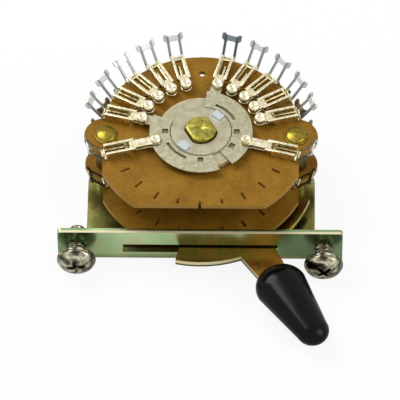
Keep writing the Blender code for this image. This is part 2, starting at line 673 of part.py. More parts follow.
def make_hub(level, z, parts, guides, selector, finish):
    """Moulded hub: a collar in the wafer's bore, a flange under the blades and a boss with two pegs."""
    collar = WAFER_BORE - RUNNING
    flange = WAFER + RUNNING
    seat = flange + HUB_FLANGE
    top = seat + HUB_BOSS
    bevel = HUB_CHAMFER
    profile = [(0.0, top), (HUB_BOSS_RADIUS - bevel, top), (HUB_BOSS_RADIUS, top - bevel),
               (HUB_BOSS_RADIUS, seat), (HUB_FLANGE_RADIUS, seat), (HUB_FLANGE_RADIUS, flange),
               (collar, flange), (collar, -HUB_COLLAR), (0.0, -HUB_COLLAR)]
    hub = turned(level + "_rotor_hub", profile)
    hub.location.z = z
    place(hub, parts, selector, finish)
    half, deep = HUB_PEG_WIDTH / 2, HUB_PEG / 2
    low, high = (-half, HUB_PEG_REACH - deep, seat), (half, HUB_PEG_REACH + deep, top + HUB_PEG_HEIGHT)
    for side, angle in (("right", HUB_PEG_ANGLE), ("left", HUB_PEG_ANGLE + 180.0)):
        peg = block(level + "_peg_" + side, low, high)
        peg.location.z = z
        peg.rotation_euler.z = -radians(angle)
        combine(hub, peg, "UNION", guides, selector)
    past = HUB_BOSS + HUB_PEG_HEIGHT
    height = top + HUB_COLLAR + 2 * past
    bore = plate(level + "_bore_shape", [two_flats(HUB_BORE_GAP)], height, -HUB_COLLAR - past)
    bore.location.z = z
    combine(hub, bore, "DIFFERENCE", guides, selector)


def make_shaft(parts, guides, selector, finish):
    """Shaft: a countersunk foot and journal in the plate, then the body with its two flats."""
    shoulder = SHEET + RUNNING
    foot = SHAFT_FOOT
    bevel = SHAFT_CHAMFER
    profile = [(0.0, SHAFT_TOP), (SHAFT_RADIUS - bevel, SHAFT_TOP), (SHAFT_RADIUS, SHAFT_TOP - bevel),
               (SHAFT_RADIUS, shoulder), (JOURNAL_RADIUS, shoulder), (JOURNAL_RADIUS, foot),
               (JOURNAL_RADIUS + foot - SEAT, SEAT), (0.0, SEAT)]
    shaft = turned("shaft", profile)
    place(shaft, parts, selector, finish)
    wide = 2 * SHAFT_RADIUS
    for side, sign in (("left", -1), ("right", 1)):
        near, far = sorted((sign * SHAFT_FLAT, sign * wide))
        flat = block("flat_" + side, (near, -wide, LEVER_LOW), (far, wide, SHAFT_TOP + wide))
        combine(shaft, flat, "DIFFERENCE", guides, selector)


def lever_outline():
    """Lever along -Y: a hub, a sector that stands out through the slot, and the arm inside the tip."""
    half_arm = ARM_WIDTH / 2
    half_tip = ARM_TIP_WIDTH / 2
    sector = SECTOR_HALF_ANGLE
    arm_angle = atan2(half_arm, SECTOR_RADIUS) * 180 / pi
    points = arc((0.0, 0.0), SECTOR_RADIUS, 270.0 - sector, 270.0 - arm_angle, LOBE_STEPS)
    points += [Vector((-half_tip, -ARM_STEP)), Vector((-half_tip, -ARM_END))]
    points += [Vector((half_tip, -ARM_END)), Vector((half_tip, -ARM_STEP))]
    points += arc((0.0, 0.0), SECTOR_RADIUS, 270.0 + arm_angle, 270.0 + sector, LOBE_STEPS)
    points += arc((0.0, 0.0), LEVER_HUB_RADIUS, -90.0 + sector, 270.0 - sector, MIDDLE_ROUND)
    return points


def make_lever(parts, selector, finish):
    """Lever with the shaft's hole, the ball's hole and the hole of the leaf's rivet."""
    loops = [lever_outline(), two_flats(SEAT),
             circle((0.0, -BALL_REACH), BALL_RADIUS + SEAT, MIDDLE_ROUND),
             circle((0.0, -LEAF_RIVET_REACH), LEAF_RIVET_RADIUS + SEAT, SMALL_ROUND)]
    lever = plate("lever", loops, LEVER)
    lever.location.z = LEVER_LOW
    place(lever, parts, selector, finish)


def tip_profile():
    """Half outline of the tip, from its outer end to the round end that faces the strip."""
    slim = TIP_END_WIDTH / 2
    shoulder = dome(TIP_WIDTH / 2, TIP_SHOULDER, 0.0, TIP_STEPS)
    end = dome(slim, slim, TIP_LENGTH - slim, TIP_STEPS)
    return end + [(r, TIP_SHOULDER - z) for r, z in reversed(shoulder)]


def turned_tip():
    """Cap turned from its outline, laid along -Y and pressed flatter."""
    tip = turned("lever_tip", tip_profile(), ROUND)
    bpy.context.scene.collection.objects.link(tip)
    mesh = evaluated_mesh(tip, "lever_tip")
    bpy.data.objects.remove(tip)
    flatten = Matrix.Scale(TIP_THICKNESS / TIP_WIDTH, 4, (0.0, 0.0, 1.0))
    mesh.transform(Matrix.Translation((0.0, -TIP_START, LEVER_HEIGHT)) @ flatten
                   @ Matrix.Rotation(radians(90), 4, "X"))
    shade(mesh, TIP_SMOOTHING)
    return bpy.data.objects.new("lever_tip", mesh)


def make_tip(parts, guides, selector, finish):
    """Moulded cap with a blind slot for the arm."""
    tip = turned_tip()
    place(tip, parts, selector, finish)
    half_mouth = ARM_WIDTH / 2 + RUNNING
    half_tip = ARM_TIP_WIDTH / 2 + RUNNING
    end, step = ARM_END + RUNNING, ARM_STEP + RUNNING
    right = [Vector((half_tip, -end)), Vector((half_tip, -step)), Vector((half_mouth, -SECTOR_RADIUS))]
    mouth = [Vector((-p.x, p.y)) for p in reversed(right)] + right
    slot = plate("tip_slot", [mouth], LEVER + 2 * RUNNING, LEVER_LOW - RUNNING)
    combine(tip, slot, "DIFFERENCE", guides, selector)


def make_detent(parts, selector, finishes):
    """Ball in the lever's hole, the leaf spring that presses on it and the rivet of that spring."""
    mesh = bpy.data.meshes.new("detent_ball")
    shape = bmesh.new()
    bmesh.ops.create_uvsphere(shape, u_segments=SMALL_ROUND, v_segments=SMALL_ROUND // 2,
                              radius=BALL_RADIUS)
    shape.to_mesh(mesh)
    shape.free()
    mesh.shade_smooth()
    ball = bpy.data.objects.new("detent_ball", mesh)
    ball.location = (0.0, -BALL_REACH, SHEET + SEAT + BALL_RADIUS)
    place(ball, parts, selector, finishes["steel"])

    half = LEAF_WIDTH / 2
    inner = LEAF_RIVET_REACH - LEAF_TAIL
    outline = arc((0.0, -BALL_REACH), half, 180.0, 360.0, HOLE_ROUND)
    outline += [Vector((half, -inner)), Vector((-half, -inner))]
    hole = circle((0.0, -LEAF_RIVET_REACH), LEAF_RIVET_RADIUS + SEAT, SMALL_ROUND)
    leaf = plate("detent_leaf", [outline, hole], LEAF)
    leaf.location.z = LEVER_TOP + SEAT
    place(leaf, parts, selector, finishes["spring"])

    top = LEVER_TOP + SEAT + LEAF + SEAT
    profile = dome(LEAF_RIVET_HEAD, LEAF_RIVET_HEAD_HEIGHT, top)
    profile += [(LEAF_RIVET_RADIUS, top), (LEAF_RIVET_RADIUS, LEVER_LOW), (0.0, LEVER_LOW)]
    rivet = turned("leaf_rivet", profile, SMALL_ROUND)
    rivet.location.y = -LEAF_RIVET_REACH
    place(rivet, parts, selector, finishes["brass"])


def make_posts(parts, root, finishes):
    """Two posts with domed heads, and the spacers that they clamp between the plate and the wafers."""
    head = POST_HEAD_RADIUS
    profile = dome(head, POST_CROWN, POST_TOP + POST_RIM)
    profile += [(head, POST_TOP), (POST_RADIUS, POST_TOP), (POST_RADIUS, POST_FOOT),
                (POST_RADIUS + POST_FOOT - SEAT, SEAT), (0.0, SEAT)]
    spacers = (("lower_spacer_", SHEET + SEAT, LOWER_SPACER),
               ("upper_spacer_", LOWER_WAFER_Z + WAFER + SEAT, UPPER_SPACER))
    for side, x in (("left", -POST_X), ("right", POST_X)):
        post = turned("post_" + side, profile, MIDDLE_ROUND)
        post.location.x = x
        place(post, parts, root, finishes["brass"])
        for prefix, bottom, length in spacers:
            spacer = tube(prefix + side, POST_RADIUS + SEAT, SPACER_RADIUS, bottom, bottom + length)
            spacer.location.x = x
            place(spacer, parts, root, finishes["spacer"])


def make_screws(parts, guides, root, finish):
    """Two mounting screws with round heads and a cross recess, turned into the strip from the front."""
    head = SCREW_HEAD_RADIUS
    for side, x, grip in (("left", -SCREW_SPACING / 2, LEFT_GRIP), ("right", SCREW_SPACING / 2, RIGHT_GRIP)):
        end = grip - SCREW_LENGTH
        profile = dome(head, SCREW_HEAD_CROWN, grip + SCREW_HEAD_RIM)
        profile += [(head, grip), (SCREW_RADIUS, grip), (SCREW_RADIUS, end + SCREW_POINT),
                    (SCREW_RADIUS - SCREW_POINT, end), (0.0, end)]
        screw = turned("mounting_screw_" + side, profile, MIDDLE_ROUND)
        screw.location = (x, -STRIP_REACH, LEVER_HEIGHT)
        screw.rotation_euler.x = radians(90)
        place(screw, parts, root, finish)
        top = grip + SCREW_HEAD_RIM + SCREW_HEAD_CROWN
        long, short = RECESS_SPAN / 2, RECESS_WIDTH / 2
        for slot, x_half, y_half in (("level", long, short), ("upright", short, long)):
            tool = block("recess_%s_%s" % (slot, side), (-x_half, -y_half, top - RECESS_DEPTH),
                         (x_half, y_half, top + RECESS_DEPTH))
            tool.location = screw.location
            tool.rotation_euler = screw.rotation_euler
            combine(screw, tool, "DIFFERENCE", guides, root)


def centre_footprint(parts, origin):
    """Move the whole switch along Y until the origin is the middle of its footprint."""
    bpy.context.view_layer.update()
    graph = bpy.context.evaluated_depsgraph_get()
    reach = []
    for obj in parts.objects:
        seen = obj.evaluated_get(graph)
        corners = [seen.matrix_world @ v.co for v in seen.data.vertices]
        reach += [min(p.y for p in corners), max(p.y for p in corners)]
    origin.location.y -= (min(reach) + max(reach)) / 2


def main():
    for obj in list(bpy.data.objects):
        bpy.data.objects.remove(obj)
    parts = collection("selector_switch")
    guides = collection("cutters")
    finishes = {
        "zinc": material("yellow_zinc_steel", (0.50, 0.50, 0.32), 0.3, 1.0),
        "phenolic": material("phenolic_board", (0.42, 0.22, 0.06), 0.5),
        "silver": material("silvered_brass", (0.78, 0.77, 0.70), 0.25, 1.0),
        "hub": material("grey_moulding", (0.62, 0.62, 0.60), 0.45),
        "brass": material("brass", (0.60, 0.52, 0.16), 0.3, 1.0),
        "spacer": material("plated_spacer", (0.52, 0.50, 0.40), 0.35, 1.0),
        "steel": material("ball_steel", (0.60, 0.60, 0.62), 0.15, 1.0),
        "spring": material("spring_steel", (0.45, 0.44, 0.42), 0.3, 1.0),
        "screw": material("nickel_screw", (0.62, 0.60, 0.55), 0.25, 1.0),
        "black": material("black_moulding", (0.012, 0.012, 0.013), 0.3),
    }
    origin = bpy.data.objects.new("switch_origin", None)
    selector = bpy.data.objects.new("selector_axis", None)
    place(origin, guides)
    place(selector, guides, origin)
    selector.rotation_euler.z = radians(LEVER_LIMIT)

    make_bracket(parts, guides, origin, finishes["zinc"])
    make_posts(parts, origin, finishes)
    make_screws(parts, guides, origin, finishes["screw"])
    clips = [make_clip_mesh("contact_clip", CLIP_INNER, CLIP_INNER, guides),
             make_clip_mesh("common_clip", COMMON_INNER, HUB_FLANGE_RADIUS + 2 * RUNNING, guides)]
    for clip in clips:
        clip.materials.append(finishes["silver"])
    for level, z in (("lower", LOWER_WAFER_Z), ("upper", UPPER_WAFER_Z)):
        make_wafer(level + "_wafer", z, parts, guides, origin, finishes["phenolic"])
        make_contacts(level, z, clips, parts, origin, finishes["silver"])
        make_hub(level, z, parts, guides, selector, finishes["hub"])
        make_blades(level, z, parts, selector, finishes["silver"])
    make_shaft(parts, guides, selector, finishes["brass"])
    make_lever(parts, selector, finishes["zinc"])
    make_tip(parts, guides, selector, finishes["black"])
    make_detent(parts, selector, finishes)
    centre_footprint(parts, origin)


main()
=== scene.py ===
# %% [markdown]
# # A rotary selector switch, dressed for its picture
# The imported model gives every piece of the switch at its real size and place.
# This lesson adds what a model of plain solids leaves out: stamped and plated
# edges, screw threads, moulded plastic and the mottled brown of laminated board.
# Each cell makes one piece or one finish and prints what it made.

# %% Load the model as a fixed frame
import json
from math import asin, cos, degrees, pi, radians, sin, sqrt

import bmesh
import bpy
from mathutils import Matrix, Vector

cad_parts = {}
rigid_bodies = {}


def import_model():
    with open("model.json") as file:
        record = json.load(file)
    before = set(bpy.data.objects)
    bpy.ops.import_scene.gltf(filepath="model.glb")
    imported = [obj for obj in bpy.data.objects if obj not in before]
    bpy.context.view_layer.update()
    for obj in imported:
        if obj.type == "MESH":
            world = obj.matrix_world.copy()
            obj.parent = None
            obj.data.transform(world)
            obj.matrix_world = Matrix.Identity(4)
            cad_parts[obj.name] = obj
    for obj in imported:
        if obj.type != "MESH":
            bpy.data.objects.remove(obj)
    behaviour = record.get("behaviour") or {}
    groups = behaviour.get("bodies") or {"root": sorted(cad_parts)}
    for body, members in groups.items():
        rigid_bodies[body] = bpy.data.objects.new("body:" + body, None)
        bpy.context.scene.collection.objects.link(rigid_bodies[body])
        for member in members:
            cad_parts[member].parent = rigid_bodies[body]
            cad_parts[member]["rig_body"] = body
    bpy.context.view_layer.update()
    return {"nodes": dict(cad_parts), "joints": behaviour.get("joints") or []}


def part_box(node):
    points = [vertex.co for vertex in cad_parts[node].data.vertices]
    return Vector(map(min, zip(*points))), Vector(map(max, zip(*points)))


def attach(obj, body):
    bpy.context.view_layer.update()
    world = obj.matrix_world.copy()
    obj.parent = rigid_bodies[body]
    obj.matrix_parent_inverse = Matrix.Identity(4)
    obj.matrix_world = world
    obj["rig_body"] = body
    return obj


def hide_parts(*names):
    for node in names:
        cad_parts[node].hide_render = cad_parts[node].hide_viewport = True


MM = 0.001

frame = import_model()
joint = frame["joints"][0]
axis_point = Vector(joint["pos_m"])
print("shaft axis in mm:", [round(v / MM, 2) for v in axis_point])

# %% [markdown]
# ## The camera
# A catalogue picture like this one is taken from above and in front, with a long
# lens: the strip's two ends look the same size. The camera is placed by its
# angles round the switch, which are easier to think about than coordinates.

# %% Camera
ELEVATION = 52.9              # degrees above the floor
AZIMUTH = 1.5                 # degrees to the right of straight ahead
ROLL = -0.8                   # degrees about the line of sight
DISTANCE = 0.85               # metres
LENS, SENSOR = 454.0, 36.0    # mm
AIM = Vector((-0.17 * MM, -5.71 * MM, 0.0))    # the middle of the picture, from the shaft


def new_object(name, data):
    """Object in the scene, made from a mesh, lamp or camera."""
    made = bpy.data.objects.new(name, data)
    bpy.context.scene.collection.objects.link(made)
    return made


elevation, azimuth = radians(ELEVATION), radians(AZIMUTH)
back = Vector((sin(azimuth) * cos(elevation), -cos(azimuth) * cos(elevation), sin(elevation)))
camera_data = bpy.data.cameras.new("catalogue_camera")
camera_data.lens = LENS
camera_data.sensor_width = SENSOR
camera_data.clip_start = DISTANCE / 10
camera_data.clip_end = DISTANCE * 10
camera = new_object("catalogue_camera", camera_data)
turn = (-back).to_track_quat("-Z", "Y").to_matrix() @ Matrix.Rotation(radians(ROLL), 3, "Z")
camera.matrix_world = Matrix.Translation(axis_point + AIM + back * DISTANCE) @ turn.to_4x4()
bpy.context.scene.camera = camera
print("camera at", [round(v, 3) for v in camera.matrix_world.translation])

# %% [markdown]
# ## Two helpers for materials
# Colours are given as sRGB hex values, and the renderer wants them linear.
# Every node is added by one helper, which sets its values, makes its links and
# fills in the colours of a ramp.

# %% Helpers for colours and nodes


def colour(hex_value):
    """sRGB hex to linear RGBA."""
    parts = [int(hex_value[k:k + 2], 16) / 255 for k in (1, 3, 5)]
    return [c / 12.92 if c <= 0.04045 else ((c + 0.055) / 1.055) ** 2.4 for c in parts] + [1.0]


def add(tree, kind, inputs=None, stops=(), **settings):
    """Node with its settings. An input is a value, or the socket that it is linked from."""
    node = tree.nodes.new(kind)
    for key, value in settings.items():
        setattr(node, key, value)
    for key, value in (inputs or {}).items():
        if isinstance(value, bpy.types.NodeSocket):
            tree.links.new(value, node.inputs[key])
        else:
            node.inputs[key].default_value = value
    while stops and len(node.color_ramp.elements) < len(stops):
        node.color_ramp.elements.new(1.0)
    for k, (position, hex_value) in enumerate(stops):
        node.color_ramp.elements[k].position = position
        node.color_ramp.elements[k].color = colour(hex_value)
    return node


def new_material(name):
    """Material with an empty tree, for the nodes that follow."""
    made = bpy.data.materials.new(name)
    made.use_nodes = True
    made.node_tree.nodes.clear()
    return made, made.node_tree


print("white is", colour("#ffffff"))

# %% [markdown]
# ## Floor, backdrop and light
# The picture has a plain white ground. A large pale floor takes the soft shadow,
# and what the camera and the polished metal see of it is lifted towards white.
# The world behind it is white to them, and weaker as a light.

# %% Floor
FLOOR_HALF = 0.6              # metres
FLOOR_DROP = 0.02 * MM
WHITE_SEEN = 0.9              # share of plain white in what the camera sees of the floor
WHITE_MIRRORED = 0.2          # and in what polished metal mirrors, which keeps more of the shadow


def to_mesh(shape, name):
    """Mesh made from a bmesh, which is then freed."""
    mesh = bpy.data.meshes.new(name)
    shape.to_mesh(mesh)
    shape.free()
    return mesh


shape = bmesh.new()
bmesh.ops.create_grid(shape, x_segments=1, y_segments=1, size=FLOOR_HALF)
floor = new_object("studio_floor", to_mesh(shape, "studio_floor"))
floor.location.z = -FLOOR_DROP

paper, tree = new_material("white_paper_floor")
lit = add(tree, "ShaderNodeBsdfDiffuse", {"Color": colour("#f4f4f2")})
glow = add(tree, "ShaderNodeEmission", {"Color": colour("#ffffff"), "Strength": 1.0})
path = add(tree, "ShaderNodeLightPath")
direct = add(tree, "ShaderNodeMath", {
    0: path.outputs["Is Camera Ray"], 1: path.outputs["Is Transmission Ray"]}, operation="MAXIMUM")
seen_part = add(tree, "ShaderNodeMath", {0: direct.outputs[0], 1: WHITE_SEEN}, operation="MULTIPLY")
share = add(tree, "ShaderNodeMath", {
    0: path.outputs["Is Glossy Ray"], 1: WHITE_MIRRORED, 2: seen_part.outputs[0]},
    operation="MULTIPLY_ADD")
seen = add(tree, "ShaderNodeMixShader", {0: share.outputs[0], 1: lit.outputs[0], 2: glow.outputs[0]})
add(tree, "ShaderNodeOutputMaterial", {"Surface": seen.outputs[0]})
floor.data.materials.append(paper)
print("floor half width in mm:", FLOOR_HALF / MM)

# %% World
WORLD_LIGHT = 0.42            # strength as a light, where 1 is white

world = bpy.data.worlds.new("studio")
world.use_nodes = True
tree = world.node_tree
tree.nodes.clear()
sky = add(tree, "ShaderNodeBackground", {"Color": colour("#ffffff"), "Strength": WORLD_LIGHT})
clean = add(tree, "ShaderNodeBackground", {"Color": colour("#ffffff"), "Strength": 1.0})
path = add(tree, "ShaderNodeLightPath")
direct = add(tree, "ShaderNodeMath", {0: path.outputs["Is Camera Ray"], 1: path.outputs["Is Glossy Ray"]},
             operation="MAXIMUM")
either = add(tree, "ShaderNodeMath", {0: direct.outputs[0], 1: path.outputs["Is Transmission Ray"]},
             operation="MAXIMUM")
seen = add(tree, "ShaderNodeMixShader", {0: either.outputs[0], 1: sky.outputs[0], 2: clean.outputs[0]})
add(tree, "ShaderNodeOutputWorld", {"Surface": seen.outputs[0]})
bpy.context.scene.world = world
bpy.context.scene.view_settings.view_transform = "Standard"
print("world light:", WORLD_LIGHT)

# %% [markdown]
# Two softboxes give the highlights: a strong one from behind on the left, whose
# light runs along the folded edges, and a weaker one from the right.

# %% Softboxes


def softbox(name, place, size, strength):
    """Area lamp aimed at the switch. Place and size are in metres, strength in watts."""
    lamp = bpy.data.lights.new(name, "AREA")
    lamp.shape = "RECTANGLE"
    lamp.size, lamp.size_y = size
    lamp.energy = strength
    made = new_object(name, lamp)
    made.location = Vector(place)
    made.rotation_euler = (-Vector(place)).to_track_quat("-Z", "Y").to_euler()
    return made


softbox("softbox_left_rear", (-0.22, 0.18, 0.35), (0.25, 0.25), 1.25)
softbox("softbox_right", (0.30, -0.10, 0.28), (0.2, 0.3), 0.65)

# %% [markdown]
# ## What a stamped and a turned piece need
# Sheet metal is punched, so its edges are a little round, and they catch the
# light. A flat curve with holes, some extrusion and a small bevel gives just
# that. The curve is drawn in the plane of the sheet and turned into a mesh.

# %% Helper for stamped sheet


def mesh_of(obj):
    """Mesh that an object evaluates to. The object itself is thrown away."""
    bpy.context.scene.collection.objects.link(obj)
    bpy.context.view_layer.update()
    made = bpy.data.meshes.new_from_object(obj.evaluated_get(bpy.context.evaluated_depsgraph_get()))
    bpy.data.objects.remove(obj)
    return made


def stamped(loops, thickness, edge, steps=2):
    """Mesh of a flat sheet with round edges. It lies on z = 0, the first loop is its rim."""
    curve = bpy.data.curves.new("stamping", "CURVE")
    curve.dimensions = "2D"
    curve.fill_mode = "BOTH"
    curve.extrude = thickness / 2 - edge
    curve.bevel_depth = edge
    curve.bevel_resolution = steps
    curve.offset = -edge
    for loop in loops:
        spline = curve.splines.new("POLY")
        spline.points.add(len(loop) - 1)
        for point, place in zip(spline.points, loop):
            point.co = (place[0], place[1], 0.0, 1.0)
        spline.use_cyclic_u = True
    made = mesh_of(bpy.data.objects.new("stamping", curve))
    made.transform(Matrix.Translation((0.0, 0.0, thickness / 2)))
    return made


def arc(x, y, radius, start, end, steps):
    """Points on an arc, by angles in degrees from +X."""
    angles = [radians(start + (end - start) * k / steps) for k in range(steps + 1)]
    return [(x + radius * cos(a), y + radius * sin(a)) for a in angles]


print("an arc of 90 degrees has", len(arc(0, 0, 1, 0, 90, 6)), "points")

# %% [markdown]
# Shafts, posts and screws come off a lathe. Spinning half an outline about Z
# makes them, and enough steps keep their outline round close up.

# %% Helper for turned pieces


def turned(profile, steps=64):
    """Mesh of a profile of (radius, height) spun about Z, with its poles welded."""
    shape = bmesh.new()
    verts = [shape.verts.new((r, 0.0, z)) for r, z in profile]
    edges = [shape.edges.new(pair) for pair in zip(verts, verts[1:])]
    bmesh.ops.spin(shape, geom=verts + edges, axis=(0, 0, 1), cent=(0, 0, 0), steps=steps, angle=2 * pi)
    bmesh.ops.remove_doubles(shape, verts=shape.verts, dist=0.001 * MM)
    bmesh.ops.recalc_face_normals(shape, faces=shape.faces)
    return to_mesh(shape, "turned")


def dome(radius, height, base, steps=10):
    """Half outline of a round crown, from its apex down to its rim."""
    turns = [pi / 2 * k / steps for k in range(steps + 1)]
    return [(radius * sin(a), base + height * cos(a)) for a in turns]


print("a dome has", len(dome(1, 1, 0)), "points")

# %% [markdown]
# A finished piece is one object, so the meshes of its forms are joined. It then
# takes the place of its model node, rides on that node's body and is shaded
# smooth up to the angle of its real edges.

# %% Helper that puts a piece in the place of its node


def joined(forms):
    """One mesh from several, each given with the matrix that places it."""
    shape = bmesh.new()
    for mesh, place in forms:
        moved = mesh.copy()
        moved.transform(place)
        shape.from_mesh(moved)
        bpy.data.meshes.remove(moved)
    return to_mesh(shape, "joined")


def put(name, node, mesh, place, finish, angle=35.0):
    """Object that replaces a node of the model and moves with its body."""
    mesh.shade_smooth()
    mesh.set_sharp_from_angle(angle=radians(angle))
    piece = new_object(name, mesh)
    piece.matrix_world = place
    mesh.materials.clear()
    mesh.materials.append(finish)
    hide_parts(node)
    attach(piece, frame["nodes"][node]["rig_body"])
    return piece


# %% [markdown]
# ## Finishes
# Patterns are laid in the object's own coordinates, in metres. A noise of scale
# 1000 / s has grains about s millimetres across, so each scale below starts from
# a real size. A mapping that shrinks one axis stretches the grains along it.

# %% Sizes of the patterns
GRAIN = {"film_patch": 7.0, "lever_patch": 2.4, "rolling_streak": 0.25, "cloud": 1.6,
         "paper_mottle": 4.5, "paper_fibre": 0.4, "plate_spot": 0.8, "mould_skin": 0.35}
SCALE = {name: 1.0 / (size * MM) for name, size in GRAIN.items()}
print("texture scales:", {name: round(scale) for name, scale in SCALE.items()})

# %% [markdown]
# The bracket is pressed from rolled steel and plated with zinc under a yellow
# chromate film. The film is so thin that its colour comes from interference: the
# strip looks green, and the base plate, where the bath drained to, looks olive.
# Rolling leaves fine streaks along the sheet, which spread the highlights. The
# strip's top edge was sheared, and its front half has a painted cream highlight,
# rougher and less metallic. The fold below has painted shade. The strip is also
# darker towards both ends, farther on the right, where it is a painted reflection
# of the shadow under the tip.

# %% Yellow chromated zinc on rolled steel
STRIP_TOP, STRIP_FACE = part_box("bracket")[1].z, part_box("bracket")[0].y
zinc_bracket, tree = new_material("yellow_chromated_zinc_rolled")
here = add(tree, "ShaderNodeTexCoord").outputs["Object"]
axes = add(tree, "ShaderNodeSeparateXYZ", {"Vector": here})
patches = add(tree, "ShaderNodeTexNoise", {
    "Vector": here, "Scale": SCALE["film_patch"], "Detail": 2.0, "Distortion": 0.8})
cloud = add(tree, "ShaderNodeTexNoise", {"Vector": here, "Scale": SCALE["cloud"], "Detail": 3.0})
along = add(tree, "ShaderNodeMapping", {"Vector": here, "Scale": (0.05, 1.0, 1.0)})
streaks = add(tree, "ShaderNodeTexNoise", {
    "Vector": along.outputs[0], "Scale": SCALE["rolling_streak"], "Detail": 3.0})
green = add(tree, "ShaderNodeValToRGB", {"Fac": patches.outputs["Fac"]},
            stops=[(0.30, "#b5bb89"), (0.45, "#a5c08e"), (0.58, "#b3c999"), (0.74, "#c2bc90")])
olive = add(tree, "ShaderNodeValToRGB", {"Fac": patches.outputs["Fac"]},
            stops=[(0.30, "#7c7d40"), (0.48, "#8d9052"), (0.62, "#9c9a5c"), (0.74, "#a8925e")])
drained = add(tree, "ShaderNodeMapRange", {
    "Value": axes.outputs["Z"], "From Min": 0.9 * MM, "From Max": 2.2 * MM})
# Darker towards both ends of the strip; on the right a painted reflection of the tip's shadow.
right_painted_shade = add(tree, "ShaderNodeMapRange", {
    "Value": axes.outputs["X"], "From Min": 11.5 * MM, "From Max": 14.0 * MM, "To Max": 0.75})
left_end_darker = add(tree, "ShaderNodeMapRange", {
    "Value": axes.outputs["X"], "From Min": -17.8 * MM, "From Max": -19.2 * MM, "To Max": 0.8})
darker_ends = add(tree, "ShaderNodeMath", {0: right_painted_shade.outputs[0], 1: left_end_darker.outputs[0]},
            operation="MAXIMUM")
ends = add(tree, "ShaderNodeMix", {0: darker_ends.outputs[0], 6: green.outputs[0], 7: colour("#6f8a5e")},
           data_type="RGBA")
film = add(tree, "ShaderNodeMix", {0: drained.outputs[0], 6: olive.outputs[0], 7: ends.outputs[2]},
           data_type="RGBA")
# Painted shade on the fold at the strip's foot.
fold_painted_shade = add(tree, "ShaderNodeMapRange", {
    "Value": axes.outputs["Z"], "From Min": 0.5 * MM, "From Max": 0.2 * MM})
film = add(tree, "ShaderNodeMix", {0: fold_painted_shade.outputs[0], 6: film.outputs[2], 7: colour("#55604a")},
           data_type="RGBA")
# Painted highlight: the front half of the strip's top edge is cream, rougher and less metallic.
high_up = add(tree, "ShaderNodeMapRange", {
    "Value": axes.outputs["Z"], "From Min": STRIP_TOP - 0.13 * MM, "From Max": STRIP_TOP - 0.04 * MM})
in_front = add(tree, "ShaderNodeMapRange", {
    "Value": axes.outputs["Y"], "From Min": STRIP_FACE + 0.5 * MM, "From Max": STRIP_FACE + 0.35 * MM})
painted_top_highlight = add(tree, "ShaderNodeMath", {0: high_up.outputs[0], 1: in_front.outputs[0]},
              operation="MULTIPLY")
film = add(tree, "ShaderNodeMix", {0: painted_top_highlight.outputs[0], 6: film.outputs[2], 7: colour("#d6cea8")},
           data_type="RGBA")
polished = add(tree, "ShaderNodeMapRange", {
    "Value": cloud.outputs["Fac"], "To Min": 0.16, "To Max": 0.32})
gloss = add(tree, "ShaderNodeMix", {0: painted_top_highlight.outputs[0], 2: polished.outputs[0], 3: 0.55})
coated = add(tree, "ShaderNodeMapRange", {"Value": painted_top_highlight.outputs[0], "To Min": 1.0, "To Max": 0.35})
wavy = add(tree, "ShaderNodeBump", {"Height": cloud.outputs["Fac"], "Distance": 0.02 * MM})
rolled = add(tree, "ShaderNodeBump", {
    "Height": streaks.outputs["Fac"], "Distance": 0.006 * MM, "Normal": wavy.outputs[0]})
plated = add(tree, "ShaderNodeBsdfPrincipled", {
    "Base Color": film.outputs[2], "Metallic": coated.outputs[0], "Roughness": gloss.outputs[0],
    "Normal": rolled.outputs[0]})
add(tree, "ShaderNodeOutputMaterial", {"Surface": plated.outputs[0]})
print("made", zinc_bracket.name)

# %% [markdown]
# The lever went through the same bath, but its film is thicker: brown gold, with
# copper and green patches a few millimetres wide, and more copper on the arm,
# which is more than about 20 mm from the shaft. On its edges the upper part has
# a painted cream highlight and the lower part painted dark shade. An edge is
# where the normal lies in the sheet's plane, and a helper finds it, as the board
# below has punched edges too.

# %% Thicker chromate film on the lever
LEVER_MIDDLE = sum(corner.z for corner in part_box("lever")) / 2


def punched_edge(tree):
    """Node that gives 1 on a sheet's cut edges and 0 on its two faces."""
    normal = add(tree, "ShaderNodeTexCoord").outputs["Normal"]
    facing = add(tree, "ShaderNodeSeparateXYZ", {"Vector": normal})
    upright = add(tree, "ShaderNodeMath", {0: facing.outputs["Z"]}, operation="ABSOLUTE")
    return add(tree, "ShaderNodeMapRange", {
        "Value": upright.outputs[0], "From Min": 0.85, "From Max": 0.6})


zinc_lever, tree = new_material("gold_chromated_zinc_pressed")
here = add(tree, "ShaderNodeTexCoord").outputs["Object"]
patches = add(tree, "ShaderNodeTexNoise", {
    "Vector": here, "Scale": SCALE["lever_patch"], "Detail": 3.0, "Distortion": 1.4})
cloud = add(tree, "ShaderNodeTexNoise", {"Vector": here, "Scale": SCALE["cloud"], "Detail": 3.0})
film = add(tree, "ShaderNodeValToRGB", {"Fac": patches.outputs["Fac"]},
           stops=[(0.28, "#57552c"), (0.40, "#6d5726"), (0.50, "#7d5a2a"), (0.58, "#6c6334"),
                  (0.70, "#96512a")])
copper = add(tree, "ShaderNodeValToRGB", {"Fac": patches.outputs["Fac"]},
             stops=[(0.30, "#7d6a2c"), (0.44, "#a0762e"), (0.54, "#b0662c"), (0.62, "#8f7a34"),
                    (0.72, "#c4602c")])
centred = add(tree, "ShaderNodeMapping", {"Vector": here, "Location": -axis_point})
reach = add(tree, "ShaderNodeVectorMath", {0: centred.outputs[0]}, operation="LENGTH")
on_arm = add(tree, "ShaderNodeMapRange", {
    "Value": reach.outputs["Value"], "From Min": 18.0 * MM, "From Max": 22.0 * MM})
film = add(tree, "ShaderNodeMix", {0: on_arm.outputs[0], 6: film.outputs[0], 7: copper.outputs[0]},
           data_type="RGBA")
punched = punched_edge(tree)
axes = add(tree, "ShaderNodeSeparateXYZ", {"Vector": here})
